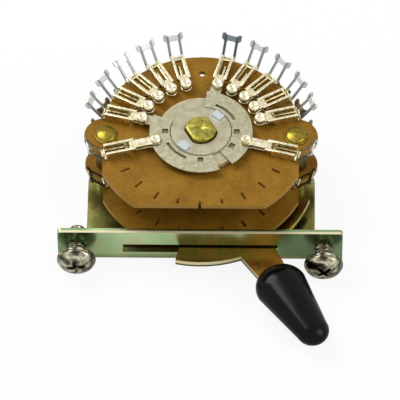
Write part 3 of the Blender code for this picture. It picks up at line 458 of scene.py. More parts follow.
# Painted light on the cut edges: cream highlight above, dark shade below.
edge_lit_half = add(tree, "ShaderNodeMapRange", {
    "Value": axes.outputs["Z"], "From Min": LEVER_MIDDLE - 0.25 * MM,
    "From Max": LEVER_MIDDLE - 0.1 * MM})
edge_painted_light = add(tree, "ShaderNodeMix", {0: edge_lit_half.outputs[0], 6: colour("#4d4726"), 7: colour("#dccfa0")},
                data_type="RGBA")
film = add(tree, "ShaderNodeMix", {0: punched.outputs[0], 6: film.outputs[2], 7: edge_painted_light.outputs[2]},
           data_type="RGBA")
gloss = add(tree, "ShaderNodeMapRange", {"Value": cloud.outputs["Fac"], "To Min": 0.16, "To Max": 0.34})
wavy = add(tree, "ShaderNodeBump", {"Height": cloud.outputs["Fac"], "Distance": 0.02 * MM})
plated = add(tree, "ShaderNodeBsdfPrincipled", {
    "Base Color": film.outputs[2], "Metallic": 1.0, "Roughness": gloss.outputs[0],
    "Normal": wavy.outputs[0]})
add(tree, "ShaderNodeOutputMaterial", {"Surface": plated.outputs[0]})
print("made", zinc_lever.name)

# %% [markdown]
# The wafers are phenolic board: sheets of paper soaked in brown resin and pressed
# flat. The colour is a golden brown, mottled by the paper's fibres, and the
# pressed surface has a dull gloss. Punched edges show raw paper, which is paler.

# %% Phenolic paper board
board, tree = new_material("phenolic_paper_board_pressed")
here = add(tree, "ShaderNodeTexCoord").outputs["Object"]
mottle = add(tree, "ShaderNodeTexNoise", {
    "Vector": here, "Scale": SCALE["paper_mottle"], "Detail": 3.0, "Roughness": 0.6})
along = add(tree, "ShaderNodeMapping", {"Vector": here, "Scale": (0.5, 1.0, 1.0)})
fibres = add(tree, "ShaderNodeTexNoise", {
    "Vector": along.outputs[0], "Scale": SCALE["paper_fibre"], "Detail": 3.0, "Roughness": 0.6})
blend = add(tree, "ShaderNodeMix", {0: 0.4, 2: mottle.outputs["Fac"], 3: fibres.outputs["Fac"]})
resin = add(tree, "ShaderNodeValToRGB", {"Fac": blend.outputs[0]},
            stops=[(0.34, "#7a5414"), (0.50, "#8c641a"), (0.66, "#9a7224")])
punched = punched_edge(tree)
resin = add(tree, "ShaderNodeMix", {0: punched.outputs[0], 6: resin.outputs[0], 7: colour("#a07a38")},
            data_type="RGBA")
gloss = add(tree, "ShaderNodeMapRange", {"Value": fibres.outputs["Fac"], "To Min": 0.36, "To Max": 0.5})
pressed = add(tree, "ShaderNodeBump", {"Height": fibres.outputs["Fac"], "Distance": 0.01 * MM})
laminate = add(tree, "ShaderNodeBsdfPrincipled", {
    "Base Color": resin.outputs[2], "IOR": 1.55, "Specular IOR Level": 0.1, "Roughness": gloss.outputs[0],
    "Normal": pressed.outputs[0]})
add(tree, "ShaderNodeOutputMaterial", {"Surface": laminate.outputs[0]})
print("made", board.name)

# %% [markdown]
# The contacts are stamped from spring brass and plated with silver. Handling
# dulls the plate in small spots to a warm grey. The solder tags have a painted
# reflection: their middle and head are painted whiter, and the narrow bars beside
# their eyes are painted grey. The tag is the part more than 17 mm from the shaft,
# and the colours across it go by the distance from its middle, from 0 to 2 mm.

# %% Silver plate on stamped brass
silver_clip, tree = new_material("silver_plated_brass_stamped")
here = add(tree, "ShaderNodeTexCoord").outputs["Object"]
axes = add(tree, "ShaderNodeSeparateXYZ", {"Vector": here})
off_middle = add(tree, "ShaderNodeMath", {0: axes.outputs["X"]}, operation="ABSOLUTE")
spots = add(tree, "ShaderNodeTexNoise", {
    "Vector": here, "Scale": SCALE["plate_spot"], "Detail": 3.0, "Roughness": 0.6})
plate = add(tree, "ShaderNodeValToRGB", {"Fac": spots.outputs["Fac"]},
            stops=[(0.32, "#a9a384"), (0.46, "#d3c9a4"), (0.58, "#e6dfc2"), (0.72, "#f4f0e2")])
across = add(tree, "ShaderNodeMapRange", {"Value": off_middle.outputs[0], "From Max": 2.0 * MM})
# Painted reflection across the tag: whiter middle and head, grey bars.
tag_painted_reflection = add(tree, "ShaderNodeValToRGB", {"Fac": across.outputs[0]},
                stops=[(0.36, "#cfcfc9"), (0.42, "#868a8b"), (0.58, "#868a8b"), (0.66, "#b4b6b4")])
on_tag = add(tree, "ShaderNodeMapRange", {
    "Value": axes.outputs["Y"], "From Min": 16.9 * MM, "From Max": 17.2 * MM})
tint = add(tree, "ShaderNodeMix", {0: on_tag.outputs[0], 6: plate.outputs[0], 7: tag_painted_reflection.outputs[0]},
           data_type="RGBA")
gloss = add(tree, "ShaderNodeMapRange", {"Value": spots.outputs["Fac"], "To Min": 0.34, "To Max": 0.2})
dulled = add(tree, "ShaderNodeBump", {"Height": spots.outputs["Fac"], "Distance": 0.008 * MM})
silver = add(tree, "ShaderNodeBsdfPrincipled", {
    "Base Color": tint.outputs[2], "Metallic": 1.0, "Roughness": gloss.outputs[0],
    "Normal": dulled.outputs[0]})
add(tree, "ShaderNodeOutputMaterial", {"Surface": silver.outputs[0]})
print("made", silver_clip.name)

# %% [markdown]
# One tag, right of the index hole, has gone grey: silver sulphide, which grows
# where fingers touch it. The tags of the lower wafer are painted a darker straw
# brown, as painted shade and a painted reflection of the brown board. Both are the
# same finish with other colours on the tag, so they are made as copies.

# %% A tarnished copy and a copy with painted shade


def tarnish_and_painted_shade(name, hex_values):
    """Copy of the clips' finish with other colours across the tag."""
    made = silver_clip.copy()
    made.name = name
    ramp = made.node_tree.nodes[tag_painted_reflection.name].color_ramp
    for stop, hex_value in zip(ramp.elements, hex_values):
        stop.color = colour(hex_value)
    return made


silver_grey = tarnish_and_painted_shade("silver_plate_gone_grey", ("#7c8488", "#51585c", "#51585c", "#6a7276"))
# Painted shade and a painted reflection of the brown board, for the lower wafer's tags.
silver_painted_board_shade = tarnish_and_painted_shade("silver_plate_painted_board_shade", ("#a89c78", "#6c6246", "#6c6246", "#8f8466"))
print("made", silver_grey.name, "and", silver_painted_board_shade.name)

# %% [markdown]
# The rotor's blades have the same plate, but the jaws wipe them at every turn, so
# their faces are matt and greyer. Fine scratches run round the shaft. They are
# rings about its axis, 0.4 mm apart, which is coarser than real ones. A wave
# texture of scale s repeats every pi / (10 s), and that gives the scale.

# %% Worn silver on the blades
RING_PITCH = 0.4 * MM
silver_blade, tree = new_material("silver_plate_worn_by_wiping")
here = add(tree, "ShaderNodeTexCoord").outputs["Object"]
centred = add(tree, "ShaderNodeMapping", {"Vector": here, "Location": -axis_point})
wiped = add(tree, "ShaderNodeTexWave", {
    "Vector": centred.outputs[0], "Scale": 0.1 * pi / RING_PITCH, "Distortion": 2.0, "Detail": 2.0},
    wave_type="RINGS", rings_direction="Z")
spots = add(tree, "ShaderNodeTexNoise", {
    "Vector": here, "Scale": SCALE["plate_spot"], "Detail": 4.0, "Roughness": 0.65})
plate = add(tree, "ShaderNodeValToRGB", {"Fac": spots.outputs["Fac"]},
            stops=[(0.34, "#8d8a72"), (0.50, "#9e9a7f"), (0.64, "#a9a78f")])
gloss = add(tree, "ShaderNodeMapRange", {"Value": spots.outputs["Fac"], "To Min": 0.5, "To Max": 0.34})
dulled = add(tree, "ShaderNodeBump", {"Height": spots.outputs["Fac"], "Distance": 0.006 * MM})
scratched = add(tree, "ShaderNodeBump", {
    "Height": wiped.outputs["Fac"], "Distance": 0.002 * MM, "Normal": dulled.outputs[0]})
silver = add(tree, "ShaderNodeBsdfPrincipled", {
    "Base Color": plate.outputs[0], "Metallic": 1.0, "Roughness": gloss.outputs[0],
    "Normal": scratched.outputs[0]})
add(tree, "ShaderNodeOutputMaterial", {"Surface": silver.outputs[0]})
print("made", silver_blade.name)

# %% [markdown]
# The hub is moulded from a pale grey plastic, and its rim has a painted cream
# highlight. A moulded face copies the fine grain of its steel mould, which softens
# the highlight. The two pegs were pressed with a hot tool when the blades were
# fixed, and they and the skin round them have a painted whitish highlight. They
# lie opposite each other, 4.3 mm from the shaft's axis. Under the blades the hub
# has painted shade, from 40 to 168 degrees to each side of the rotor's rear, and
# that shows through the blades' windows.

# %% Pale moulded plastic of the hubs
PEG_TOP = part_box("upper_rotor_hub")[1].z
PEG_REACH, PEG_ANGLE = 4.3 * MM, radians(49)
LEVER_ANGLE = radians(30)     # the rotor and the lever at rest, from straight
BLADE_SEAT, BOSS_RADIUS = (radians(40), radians(168)), 5.3 * MM
hub_plastic, tree = new_material("pale_grey_plastic_moulded")
here = add(tree, "ShaderNodeTexCoord").outputs["Object"]
cloud = add(tree, "ShaderNodeTexNoise", {"Vector": here, "Scale": SCALE["cloud"], "Detail": 2.0})
skin = add(tree, "ShaderNodeTexNoise", {"Vector": here, "Scale": SCALE["mould_skin"], "Detail": 3.0})
axes = add(tree, "ShaderNodeSeparateXYZ", {"Vector": here})
body = add(tree, "ShaderNodeValToRGB", {"Fac": cloud.outputs["Fac"]},
           stops=[(0.34, "#a29a7c"), (0.50, "#aea687"), (0.66, "#b9b194")])
# Painted highlight on the pegs' tops and on the skin round them.
peg_top_painted_highlight = add(tree, "ShaderNodeMapRange", {
    "Value": axes.outputs["Z"], "From Min": PEG_TOP - 0.12 * MM, "From Max": PEG_TOP - 0.06 * MM})
centred = add(tree, "ShaderNodeMapping", {"Vector": here, "Location": -axis_point})
flat = add(tree, "ShaderNodeVectorMath", {0: centred.outputs[0], 1: (1.0, 1.0, 0.0)},
           operation="MULTIPLY")
radius = add(tree, "ShaderNodeVectorMath", {0: flat.outputs[0]}, operation="LENGTH")
squared = add(tree, "ShaderNodeMapping", {
    "Vector": flat.outputs[0], "Rotation": (0.0, 0.0, -LEVER_ANGLE)})
sides = add(tree, "ShaderNodeSeparateXYZ", {"Vector": squared.outputs[0]})
either_side = add(tree, "ShaderNodeMath", {0: sides.outputs["X"]}, operation="ABSOLUTE")
from_rear = add(tree, "ShaderNodeMath", {0: either_side.outputs[0], 1: sides.outputs["Y"]},
                operation="ARCTAN2")
past_start = add(tree, "ShaderNodeMath", {0: from_rear.outputs[0], 1: BLADE_SEAT[0]},
                 operation="GREATER_THAN")
before_end = add(tree, "ShaderNodeMath", {0: from_rear.outputs[0], 1: BLADE_SEAT[1]},
                 operation="LESS_THAN")
past_boss = add(tree, "ShaderNodeMath", {0: radius.outputs["Value"], 1: BOSS_RADIUS},
                operation="GREATER_THAN")
arc_part = add(tree, "ShaderNodeMath", {0: past_start.outputs[0], 1: before_end.outputs[0]},
               operation="MULTIPLY")
under_blade = add(tree, "ShaderNodeMath", {0: arc_part.outputs[0], 1: past_boss.outputs[0]},
                  operation="MULTIPLY")
# Painted shade under the blades, seen through their windows.
blade_seat_painted_shade = add(tree, "ShaderNodeMix", {
    0: under_blade.outputs[0], 6: body.outputs[0], 7: colour("#76735a")}, data_type="RGBA")
# Painted highlight along the hub's rim.
rim = add(tree, "ShaderNodeMapRange", {
    "Value": radius.outputs["Value"], "From Min": 7.1 * MM, "From Max": 7.3 * MM, "To Max": 0.8})
rim_painted_highlight = add(tree, "ShaderNodeMix", {0: rim.outputs[0], 6: blade_seat_painted_shade.outputs[2], 7: colour("#c9bb8e")},
            data_type="RGBA")
aligned = add(tree, "ShaderNodeMapping", {"Vector": flat.outputs[0], "Rotation": (0.0, 0.0, -PEG_ANGLE)})
folded = add(tree, "ShaderNodeVectorMath", {0: aligned.outputs[0]}, operation="ABSOLUTE")
to_peg = add(tree, "ShaderNodeVectorMath", {0: folded.outputs[0], 1: (PEG_REACH, 0.0, 0.0)},
             operation="SUBTRACT")
away = add(tree, "ShaderNodeVectorMath", {0: to_peg.outputs[0]}, operation="LENGTH")
peg_painted_halo = add(tree, "ShaderNodeMapRange", {
    "Value": away.outputs["Value"], "From Min": 1.7 * MM, "From Max": 1.0 * MM, "To Max": 0.6})
peg_painted_highlight = add(tree, "ShaderNodeMath", {0: peg_top_painted_highlight.outputs[0], 1: peg_painted_halo.outputs[0]}, operation="MAXIMUM")
tint = add(tree, "ShaderNodeMix", {0: peg_painted_highlight.outputs[0], 6: rim_painted_highlight.outputs[2], 7: colour("#bfc8c8")},
           data_type="RGBA")
gloss = add(tree, "ShaderNodeMapRange", {"Value": skin.outputs["Fac"], "To Min": 0.32, "To Max": 0.5})
grained = add(tree, "ShaderNodeBump", {"Height": skin.outputs["Fac"], "Distance": 0.01 * MM})
plastic = add(tree, "ShaderNodeBsdfPrincipled", {
    "Base Color": tint.outputs[2], "IOR": 1.5, "Roughness": gloss.outputs[0],
    "Normal": grained.outputs[0]})
add(tree, "ShaderNodeOutputMaterial", {"Surface": plastic.outputs[0]})
print("made", hub_plastic.name, "- pegs end at", round(PEG_TOP / MM, 2), "mm")

# %% [markdown]
# Five metals remain: brass in two states, plated tube, nickel and spring steel.
# On all of them one pattern of spots or stains sets the colour and the gloss, and
# on three a slight relief too, so one helper makes them and only values differ.

# %% Helper for spotted metal


def spotted_metal(name, pattern, stops, gloss, relief=0.0):
    """Metal whose colour, roughness and relief follow one noise pattern."""
    made, tree = new_material(name)
    here = add(tree, "ShaderNodeTexCoord").outputs["Object"]
    spots = add(tree, "ShaderNodeTexNoise", {"Vector": here, **pattern})
    tint = add(tree, "ShaderNodeValToRGB", {"Fac": spots.outputs["Fac"]}, stops=stops)
    shine = add(tree, "ShaderNodeMapRange", {
        "Value": spots.outputs["Fac"], "To Min": gloss[0], "To Max": gloss[1]})
    skin = add(tree, "ShaderNodeBump", {"Height": spots.outputs["Fac"], "Distance": relief})
    metal = add(tree, "ShaderNodeBsdfPrincipled", {
        "Base Color": tint.outputs[0], "Metallic": 1.0, "Roughness": shine.outputs[0],
        "Normal": skin.outputs[0]})
    add(tree, "ShaderNodeOutputMaterial", {"Surface": metal.outputs[0]})
    return made


print("spots are", GRAIN["plate_spot"], "mm wide, and stains", GRAIN["cloud"], "mm")

# %% [markdown]
# The shaft is turned from brass bar and left bare, so air has turned it olive. The
# cutting tool leaves a fine spotted skin on its end. The posts are of the same
# brass, but their heads were pressed down cold when the stack was clamped. The
# pressed skin is smoother and more golden.

# %% Brass of the shaft and of the posts
brass = spotted_metal("brass_turned_bare", {"Scale": SCALE["plate_spot"], "Detail": 4.0, "Roughness": 0.6},
                      [(0.32, "#716a26"), (0.48, "#8e863a"), (0.60, "#9f974a"), (0.74, "#b4ac5e")],
                      gloss=(0.28, 0.4), relief=0.008 * MM)
brass_headed = spotted_metal("brass_headed_cold",
                             {"Scale": SCALE["plate_spot"], "Detail": 3.0, "Roughness": 0.55},
                             [(0.32, "#6c5a18"), (0.50, "#84732a"), (0.68, "#9a8a38")],
                             gloss=(0.24, 0.36), relief=0.01 * MM)
print("made", brass.name, "and", brass_headed.name)

# %% [markdown]
# The spacers are cut from plated tube and stand between the wafers. Their dull
# brownish gold is darkened as painted shade. The detent's ball and leaf are spring
# steel, tempered to a grey with a trace of straw yellow.

# %% Plated tube of the spacers and tempered spring steel
# Painted shade: the spacers' colour is darkened to the shade between the wafers.
tube_painted_shade = spotted_metal("zinc_plated_tube", {"Scale": SCALE["plate_spot"], "Detail": 3.0},
                            [(0.35, "#5f5639"), (0.65, "#857b58")], gloss=(0.3, 0.45))
spring_steel = spotted_metal("spring_steel_tempered", {"Scale": SCALE["plate_spot"], "Detail": 3.0},
                             [(0.35, "#6d6960"), (0.55, "#8d897e"), (0.70, "#9c9274")],
                             gloss=(0.22, 0.36))
print("made", tube_painted_shade.name, "and", spring_steel.name)

# %% [markdown]
# The screws are rolled steel with a smooth nickel plate. It is darker than silver,
# and painted reflections in blotches give a head bright painted glints beside
# nearly black patches.

# %% Nickel plate on the screws
# Painted reflections: dark blotches and bright glints in the colour ramp.
nickel_painted_reflections = spotted_metal("nickel_plated_steel_rolled_thread",
                       {"Scale": SCALE["cloud"], "Detail": 3.0, "Roughness": 0.6, "Distortion": 0.8},
                       [(0.36, "#34322a"), (0.47, "#6c6957"), (0.56, "#9c9780"), (0.66, "#dcd6ba")],
                       gloss=(0.24, 0.12), relief=0.02 * MM)
print("made", nickel_painted_reflections.name)

# %% [markdown]
# The tip is moulded from black plastic with a half gloss. Its skin has very fine
# ripples from the mould, so the lamp's reflection is a soft grey streak.

# %% Black moulded plastic of the tip
black_tip, tree = new_material("black_plastic_moulded")
here = add(tree, "ShaderNodeTexCoord").outputs["Object"]
cloud = add(tree, "ShaderNodeTexNoise", {"Vector": here, "Scale": SCALE["cloud"], "Detail": 2.0})
skin = add(tree, "ShaderNodeTexNoise", {"Vector": here, "Scale": SCALE["mould_skin"], "Detail": 3.0})
dye = add(tree, "ShaderNodeValToRGB", {"Fac": cloud.outputs["Fac"]},
          stops=[(0.35, "#040404"), (0.65, "#090909")])
gloss = add(tree, "ShaderNodeMapRange", {"Value": skin.outputs["Fac"], "To Min": 0.13, "To Max": 0.21})
rippled = add(tree, "ShaderNodeBump", {"Height": skin.outputs["Fac"], "Distance": 0.006 * MM})
plastic = add(tree, "ShaderNodeBsdfPrincipled", {
    "Base Color": dye.outputs[0], "IOR": 1.5, "Specular IOR Level": 0.12, "Roughness": gloss.outputs[0],
    "Normal": rippled.outputs[0]})
add(tree, "ShaderNodeOutputMaterial", {"Surface": plastic.outputs[0]})
print("made", black_tip.name)

# %% [markdown]
# ## Pieces that keep their model node
# The bracket, wafers, lever, blades, hubs, spacers and detent parts have their
# right shape already. They get their finish, and a bevel of the given width in
# millimetres, which rounds the punched or moulded edges so that they catch light.

# %% Finish and edge of each kept node
KEPT = {
    "bracket": (zinc_bracket, 0.12), "lever": (zinc_lever, 0.16),
    "upper_wafer": (board, 0.08), "lower_wafer": (board, 0.08),
    "upper_rotor_hub": (hub_plastic, 0.07), "lower_rotor_hub": (hub_plastic, 0.07),
    "detent_ball": (spring_steel, 0.0), "detent_leaf": (spring_steel, 0.04), "leaf_rivet": (brass, 0.04),
}
for level in ("upper", "lower"):
    for side in ("left", "right"):
        KEPT["%s_blade_%s" % (level, side)] = (silver_blade, 0.05)
        KEPT["%s_spacer_%s" % (level, side)] = (tube_painted_shade, 0.06)

for node, (finish_of, edge) in KEPT.items():
    obj = frame["nodes"][node]
    obj.material_slots[0].link = "OBJECT"
    obj.material_slots[0].material = finish_of
    if edge:
        bevel = obj.modifiers.new("edge", "BEVEL")
        bevel.width = edge * MM
        bevel.segments = 2
        bevel.limit_method = "ANGLE"
        bevel.angle_limit = radians(40.0)
        bevel.harden_normals = True
print("kept nodes:", len(KEPT))

# %% [markdown]
# ## Contact clips
# Each clip is punched and folded from one strip of spring metal: a channel that
# sits on the wafer, two jaws that reach in to the rotor, and a solder tag that is
# bent up. Sizes are taken from the wafer's top face and the shaft's axis, so a
# mesh along +Y can be turned to all its places.

# %% Sizes of a clip
WAFER_TOPS = {level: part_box(level + "_wafer")[1].z for level in ("upper", "lower")}
SHEET, EDGE = 0.3 * MM, 0.08 * MM
SEAT = 0.05 * MM              # from the board up to the channel's floor
CHANNEL_HALF = 1.15 * MM
CHANNEL = (12.45 * MM, 16.55 * MM)       # its two ends, from the shaft's axis
OPENING_HALF = 0.7 * MM       # of the hole in its floor
CROSS_BAR = 0.5 * MM          # floor left at the inner end of the hole
RAIL_TOP, RAIL_TIP = 1.67 * MM, 11.4 * MM
LIP, LIP_DEPTH, LIP_PROUD = 0.45 * MM, 0.26 * MM, 0.03 * MM
TONGUE_HALF = 0.175 * MM      # of a tongue in the middle of the hole
TAB, TAB_END = (13.75 * MM, 15.25 * MM), -1.2 * MM       # the tongue's end, folded through the board
TAG_BEND, TAG_RISE = 17.0 * MM, radians(50)
UPPER_JAW, LOWER_JAW = 1.33 * MM, 0.63 * MM
UPPER_HALF, LOWER_HALF = 1.05 * MM, 0.95 * MM
OVERLAP = 0.1 * MM            # how far one form runs into the next
print("clip is", round(2 * CHANNEL_HALF / MM, 2), "mm wide")

# %% [markdown]
# The channel is open between its two rails, and the brown board shows there. A
# rail is the folded side of the strip. Its top edge is turned in to a narrow lip,
# which is the bright line that runs along every clip, and it reaches further in
# than the floor to carry the upper jaw.

# %% Channel and rails


def bar(x0, x1, y0, y1, z0, z1):
    """Strip between two corners, with round edges."""
    mesh = stamped([[(x0, y0), (x1, y0), (x1, y1), (x0, y1)]], z1 - z0, min(x1 - x0, z1 - z0) / 4)
    mesh.transform(Matrix.Translation((0, 0, z0)))
    return mesh


def rails():
    """Both sides with their lips, and what is left of the floor."""
    inner, outer = CHANNEL
    floor_top = SEAT + SHEET
    side = [(inner, SEAT), (outer, SEAT), (outer, RAIL_TOP), (RAIL_TIP, RAIL_TOP),
            (RAIL_TIP, UPPER_JAW), (inner, UPPER_JAW - 0.2 * MM)]
    forms = []
    for x in (-CHANNEL_HALF, CHANNEL_HALF - SHEET):
        upright = stamped([side], SHEET, EDGE)
        upright.transform(Matrix(((0, 0, 1, x), (1, 0, 0, 0), (0, 1, 0, 0), (0, 0, 0, 1))))
        forms.append(upright)
    for way in (-1, 1):
        lip = sorted((way * CHANNEL_HALF, way * (CHANNEL_HALF - LIP)))
        foot = sorted((way * OPENING_HALF, way * (CHANNEL_HALF - OVERLAP / 2)))
        forms.append(bar(*lip, RAIL_TIP, outer, RAIL_TOP - LIP_DEPTH, RAIL_TOP + LIP_PROUD))
        forms.append(bar(*foot, inner, outer, SEAT, floor_top))
    across = CHANNEL_HALF - OVERLAP
    forms.append(bar(-across, across, inner, inner + CROSS_BAR, SEAT, floor_top))
    forms.append(bar(-across, across, outer - OVERLAP, TAG_BEND, SEAT, floor_top))
    forms.append(bar(-TONGUE_HALF, TONGUE_HALF, inner + CROSS_BAR - OVERLAP, TAB[1], SEAT, floor_top))
    forms.append(bar(-TONGUE_HALF, TONGUE_HALF, *TAB, TAB_END, SEAT + OVERLAP))
    return forms


print("forms of a channel:", len(rails()))

# %% [markdown]
# A jaw is a leaf with a round end. The upper one carries a button, pressed up
# from below. The press leaves a shallow dent in its top, so the button catches
# the light in a ring and is the brightest spot of each clip.

# %% Jaws
BUTTON = [(0.0, 0.40), (0.2, 0.41), (0.36, 0.48), (0.5, 0.56), (0.66, 0.55), (0.82, 0.45),
          (0.95, 0.28), (1.03, 0.1), (1.05, -0.2)]       # radius and height over the jaw, in mm


def leaf(end_at, half, height):
    """Leaf with a round end, from its end near the rotor to its root in the channel."""
    waist, root, neck = 0.8 * MM, CHANNEL[0] - 0.2 * MM, end_at + 2.2 * half
    loop = arc(0, end_at + half, half, 150, 390, 16)
    loop += [(waist, neck), (waist, root), (-waist, root), (-waist, neck)]
    mesh = stamped([loop], SHEET, EDGE)
    mesh.transform(Matrix.Translation((0, 0, height)))
    return mesh


def button(end_at, height):
    """Round crown with a dent in its top, on the upper jaw's end."""
    mesh = turned([(r * MM, z * MM) for r, z in BUTTON], 28)
    mesh.transform(Matrix.Translation((0, end_at + UPPER_HALF, height + SHEET)))
    return mesh


button_top = (UPPER_JAW + SHEET) / MM + max(z for r, z in BUTTON)
print("a button stands", round(button_top, 2), "mm over the wafer")

# %% [markdown]
# The solder tag is a frame round an eye, with a wider head whose corners stick
# out as ears. It is punched flat, then bent up by 50 degrees at the wafer's edge.

# %% Tag


def tag():
    """Frame round the eye and the head with its two ears, bent up."""
    neck, head, end = 1.2 * MM, 1.7 * MM, 4.5 * MM
    shoulder, notch = 3.4 * MM, 0.3 * MM
    right = [(neck, 0.0), (neck, shoulder - notch), (head, shoulder + notch / 2), (head, end - notch / 2),
             (head - notch / 2, end), (neck, end), (neck - notch, end - notch)]
    eye_x, eye_low, eye_high, eye_round = 0.45 * MM, 0.7 * MM, 2.95 * MM, 0.3 * MM
    eye = arc(eye_x, eye_low, eye_round, 270, 360, 4) + arc(eye_x, eye_high, eye_round, 0, 90, 4)
    eye += [(-x, y) for x, y in reversed(eye)]
    mesh = stamped([right + [(-x, y) for x, y in reversed(right)], eye], SHEET, EDGE)
    foot = Matrix.Translation((0, TAG_BEND - OVERLAP, SEAT + OVERLAP))
    mesh.transform(foot @ Matrix.Rotation(TAG_RISE, 4, "X"))
    return mesh


print("faces of a tag:", len(tag().polygons))

# %% Whole clip
SWITCHED_ENDS = (9.2 * MM, 9.2 * MM)     # of the upper and lower jaw, from the shaft's axis
COMMON_ENDS = (6.8 * MM, 7.56 * MM)


def clip_mesh(upper_end, lower_end):
    """Clip whose jaws end at these distances from the shaft's axis."""
    forms = rails() + [leaf(upper_end, UPPER_HALF, UPPER_JAW), button(upper_end, UPPER_JAW),
                       leaf(lower_end, LOWER_HALF, LOWER_JAW), tag()]
    return joined([(form, Matrix.Identity(4)) for form in forms])


switched = clip_mesh(*SWITCHED_ENDS)
common = clip_mesh(*COMMON_ENDS)
print("faces of a clip:", len(switched.polygons), "and", len(common.polygons))

# %% [markdown]
# Each wafer carries five switched contacts to each side of the rear, 15 degrees
# apart, and one common to each side. Angles run clockwise from the rear, seen
# from above. On the upper wafer, the first one right of the index hole has the
# greyed tag.

# %% Put the clips on both wafers
PITCH, COMMON_ANGLE, PER_SIDE = 15.0, 105.0, 5
steps = [k for k in range(-PER_SIDE, PER_SIDE + 1) if k]
angles = {"contact_%02d" % number: PITCH * step for number, step in enumerate(steps, 1)}
angles.update({"common_left": -COMMON_ANGLE, "common_right": COMMON_ANGLE})
for level, top in WAFER_TOPS.items():
    centre = Matrix.Translation((axis_point.x, axis_point.y, top))
    for kind, angle in angles.items():
        mesh = (common if "common" in kind else switched).copy()
        place = centre @ Matrix.Rotation(-radians(angle), 4, "Z")
        node = "%s_%s" % (level, kind)
        # The lower wafer's clips take the copy with painted shade.
        plate_on = silver_painted_board_shade if level == "lower" else silver_clip
        if node == "upper_contact_06":
            plate_on = silver_grey
        put(node + "_clip", node, mesh, place, plate_on)
print("clips:", 2 * len(angles))

# %% [markdown]
# ## Turned pieces
# The shaft's top is a disc with two flats and a small chamfer. The posts end in
# low domes with a straight rim under them.

# %% Posts
POST_RADIUS, POST_HEAD = 1.15 * MM, 1.95 * MM
CROWN, LEDGE, RIM, RIM_ROUND = 0.6 * MM, 0.2 * MM, 0.2 * MM, 0.06 * MM
FOOT, FLARE = 0.5 * MM, 0.45 * MM        # height of the foot, and how much wider it ends
for side in ("left", "right"):
    low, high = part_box("post_" + side)
    middle = (low + high) / 2
    rim = high.z - CROWN
    profile = dome(POST_HEAD - LEDGE, CROWN, rim)
    profile += [(POST_HEAD - RIM_ROUND, rim - 0.01 * MM), (POST_HEAD, rim - RIM_ROUND)]
    profile += [(POST_HEAD, rim - RIM), (POST_RADIUS, rim - RIM), (POST_RADIUS, low.z + FOOT)]
    profile += [(POST_RADIUS + FLARE, low.z), (0.0, low.z)]
    place = Matrix.Translation((middle.x, middle.y, 0.0))
    put("post_turned_" + side, "post_" + side, turned(profile), place, brass_headed)
print("post head", round(2 * POST_HEAD / MM, 2), "mm wide")

# %% [markdown]
# The shaft keeps its two flats over its whole upper part, so the helper for sheet
# makes that part from one outline, with its chamfer. A lathe centre left a small
# dent in its end, which is sunk with a Boolean. Its foot is turned to a journal.

# %% Shaft
SHAFT_RADIUS, SHAFT_FLAT, JOURNAL = 2.6 * MM, 2.2 * MM, 2.0 * MM
CHAMFER = 0.24 * MM
DENT_RADIUS, DENT_DEPTH = 0.62 * MM, 0.3 * MM
SHOULDER, FOOT_TOP = 1.0 * MM, 0.5 * MM  # heights over the base plate's underside
low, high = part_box("shaft")
flat_half = degrees(asin(sqrt(SHAFT_RADIUS ** 2 - SHAFT_FLAT ** 2) / SHAFT_RADIUS))
outline = arc(0, 0, SHAFT_RADIUS, flat_half, 180 - flat_half, 28)
outline += arc(0, 0, SHAFT_RADIUS, 180 + flat_half, 360 - flat_half, 28)
lever_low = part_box("lever")[0].z
upper = stamped([outline], high.z - lever_low, CHAMFER, 3)
upper.transform(Matrix.Translation((0, 0, lever_low)))
cone = turned([(0.0, -DENT_DEPTH), (DENT_RADIUS, OVERLAP), (0.0, OVERLAP)], 24)
cone.transform(Matrix.Translation((0, 0, high.z)))
cutter = new_object("centre_dent", cone)
blank = bpy.data.objects.new("shaft_blank", upper)
cut = blank.modifiers.new("dent", "BOOLEAN")
cut.operation, cut.solver, cut.object = "DIFFERENCE", "EXACT", cutter
upper = mesh_of(blank)
bpy.data.objects.remove(cutter)
journal_top = lever_low + 3 * OVERLAP
journal = turned([(0.0, journal_top), (SHAFT_RADIUS, journal_top), (SHAFT_RADIUS, SHOULDER),
                  (JOURNAL, SHOULDER), (JOURNAL, FOOT_TOP), (JOURNAL + FLARE, low.z), (0.0, low.z)])
turn = Matrix.Rotation(LEVER_ANGLE, 4, "Z")
place = Matrix.Translation((axis_point.x, axis_point.y, 0))
put("shaft_turned", "shaft", joined([(upper, turn), (journal, turn)]), place, brass)
print("shaft top at", round(high.z / MM, 2), "mm")

# %% [markdown]
# ## Mounting screws
# The threads show between the strip and the head, and behind the strip. A real
# thread is a helix, which is built ring by ring: each ring of the shank rises
# and falls with its place along the helix. The head is a low dome with a crossed
# recess, cut with a Boolean.

# %% Threaded screw
SCREW = {"radius": 1.6, "pitch": 0.8, "depth": 0.35, "head": 3.25, "rim": 0.6, "crown": 1.5}   # mm
AROUND, PER_TURN = 32, 8
RUN_IN = 0.6 * MM             # over which the thread starts
HEAD_ROUND = 0.15 * MM
CROSS_TOP, CROSS_BOTTOM = (3.6, 0.75, 0.5), (2.0, 0.5, -1.2)    # length, width, height over the crown


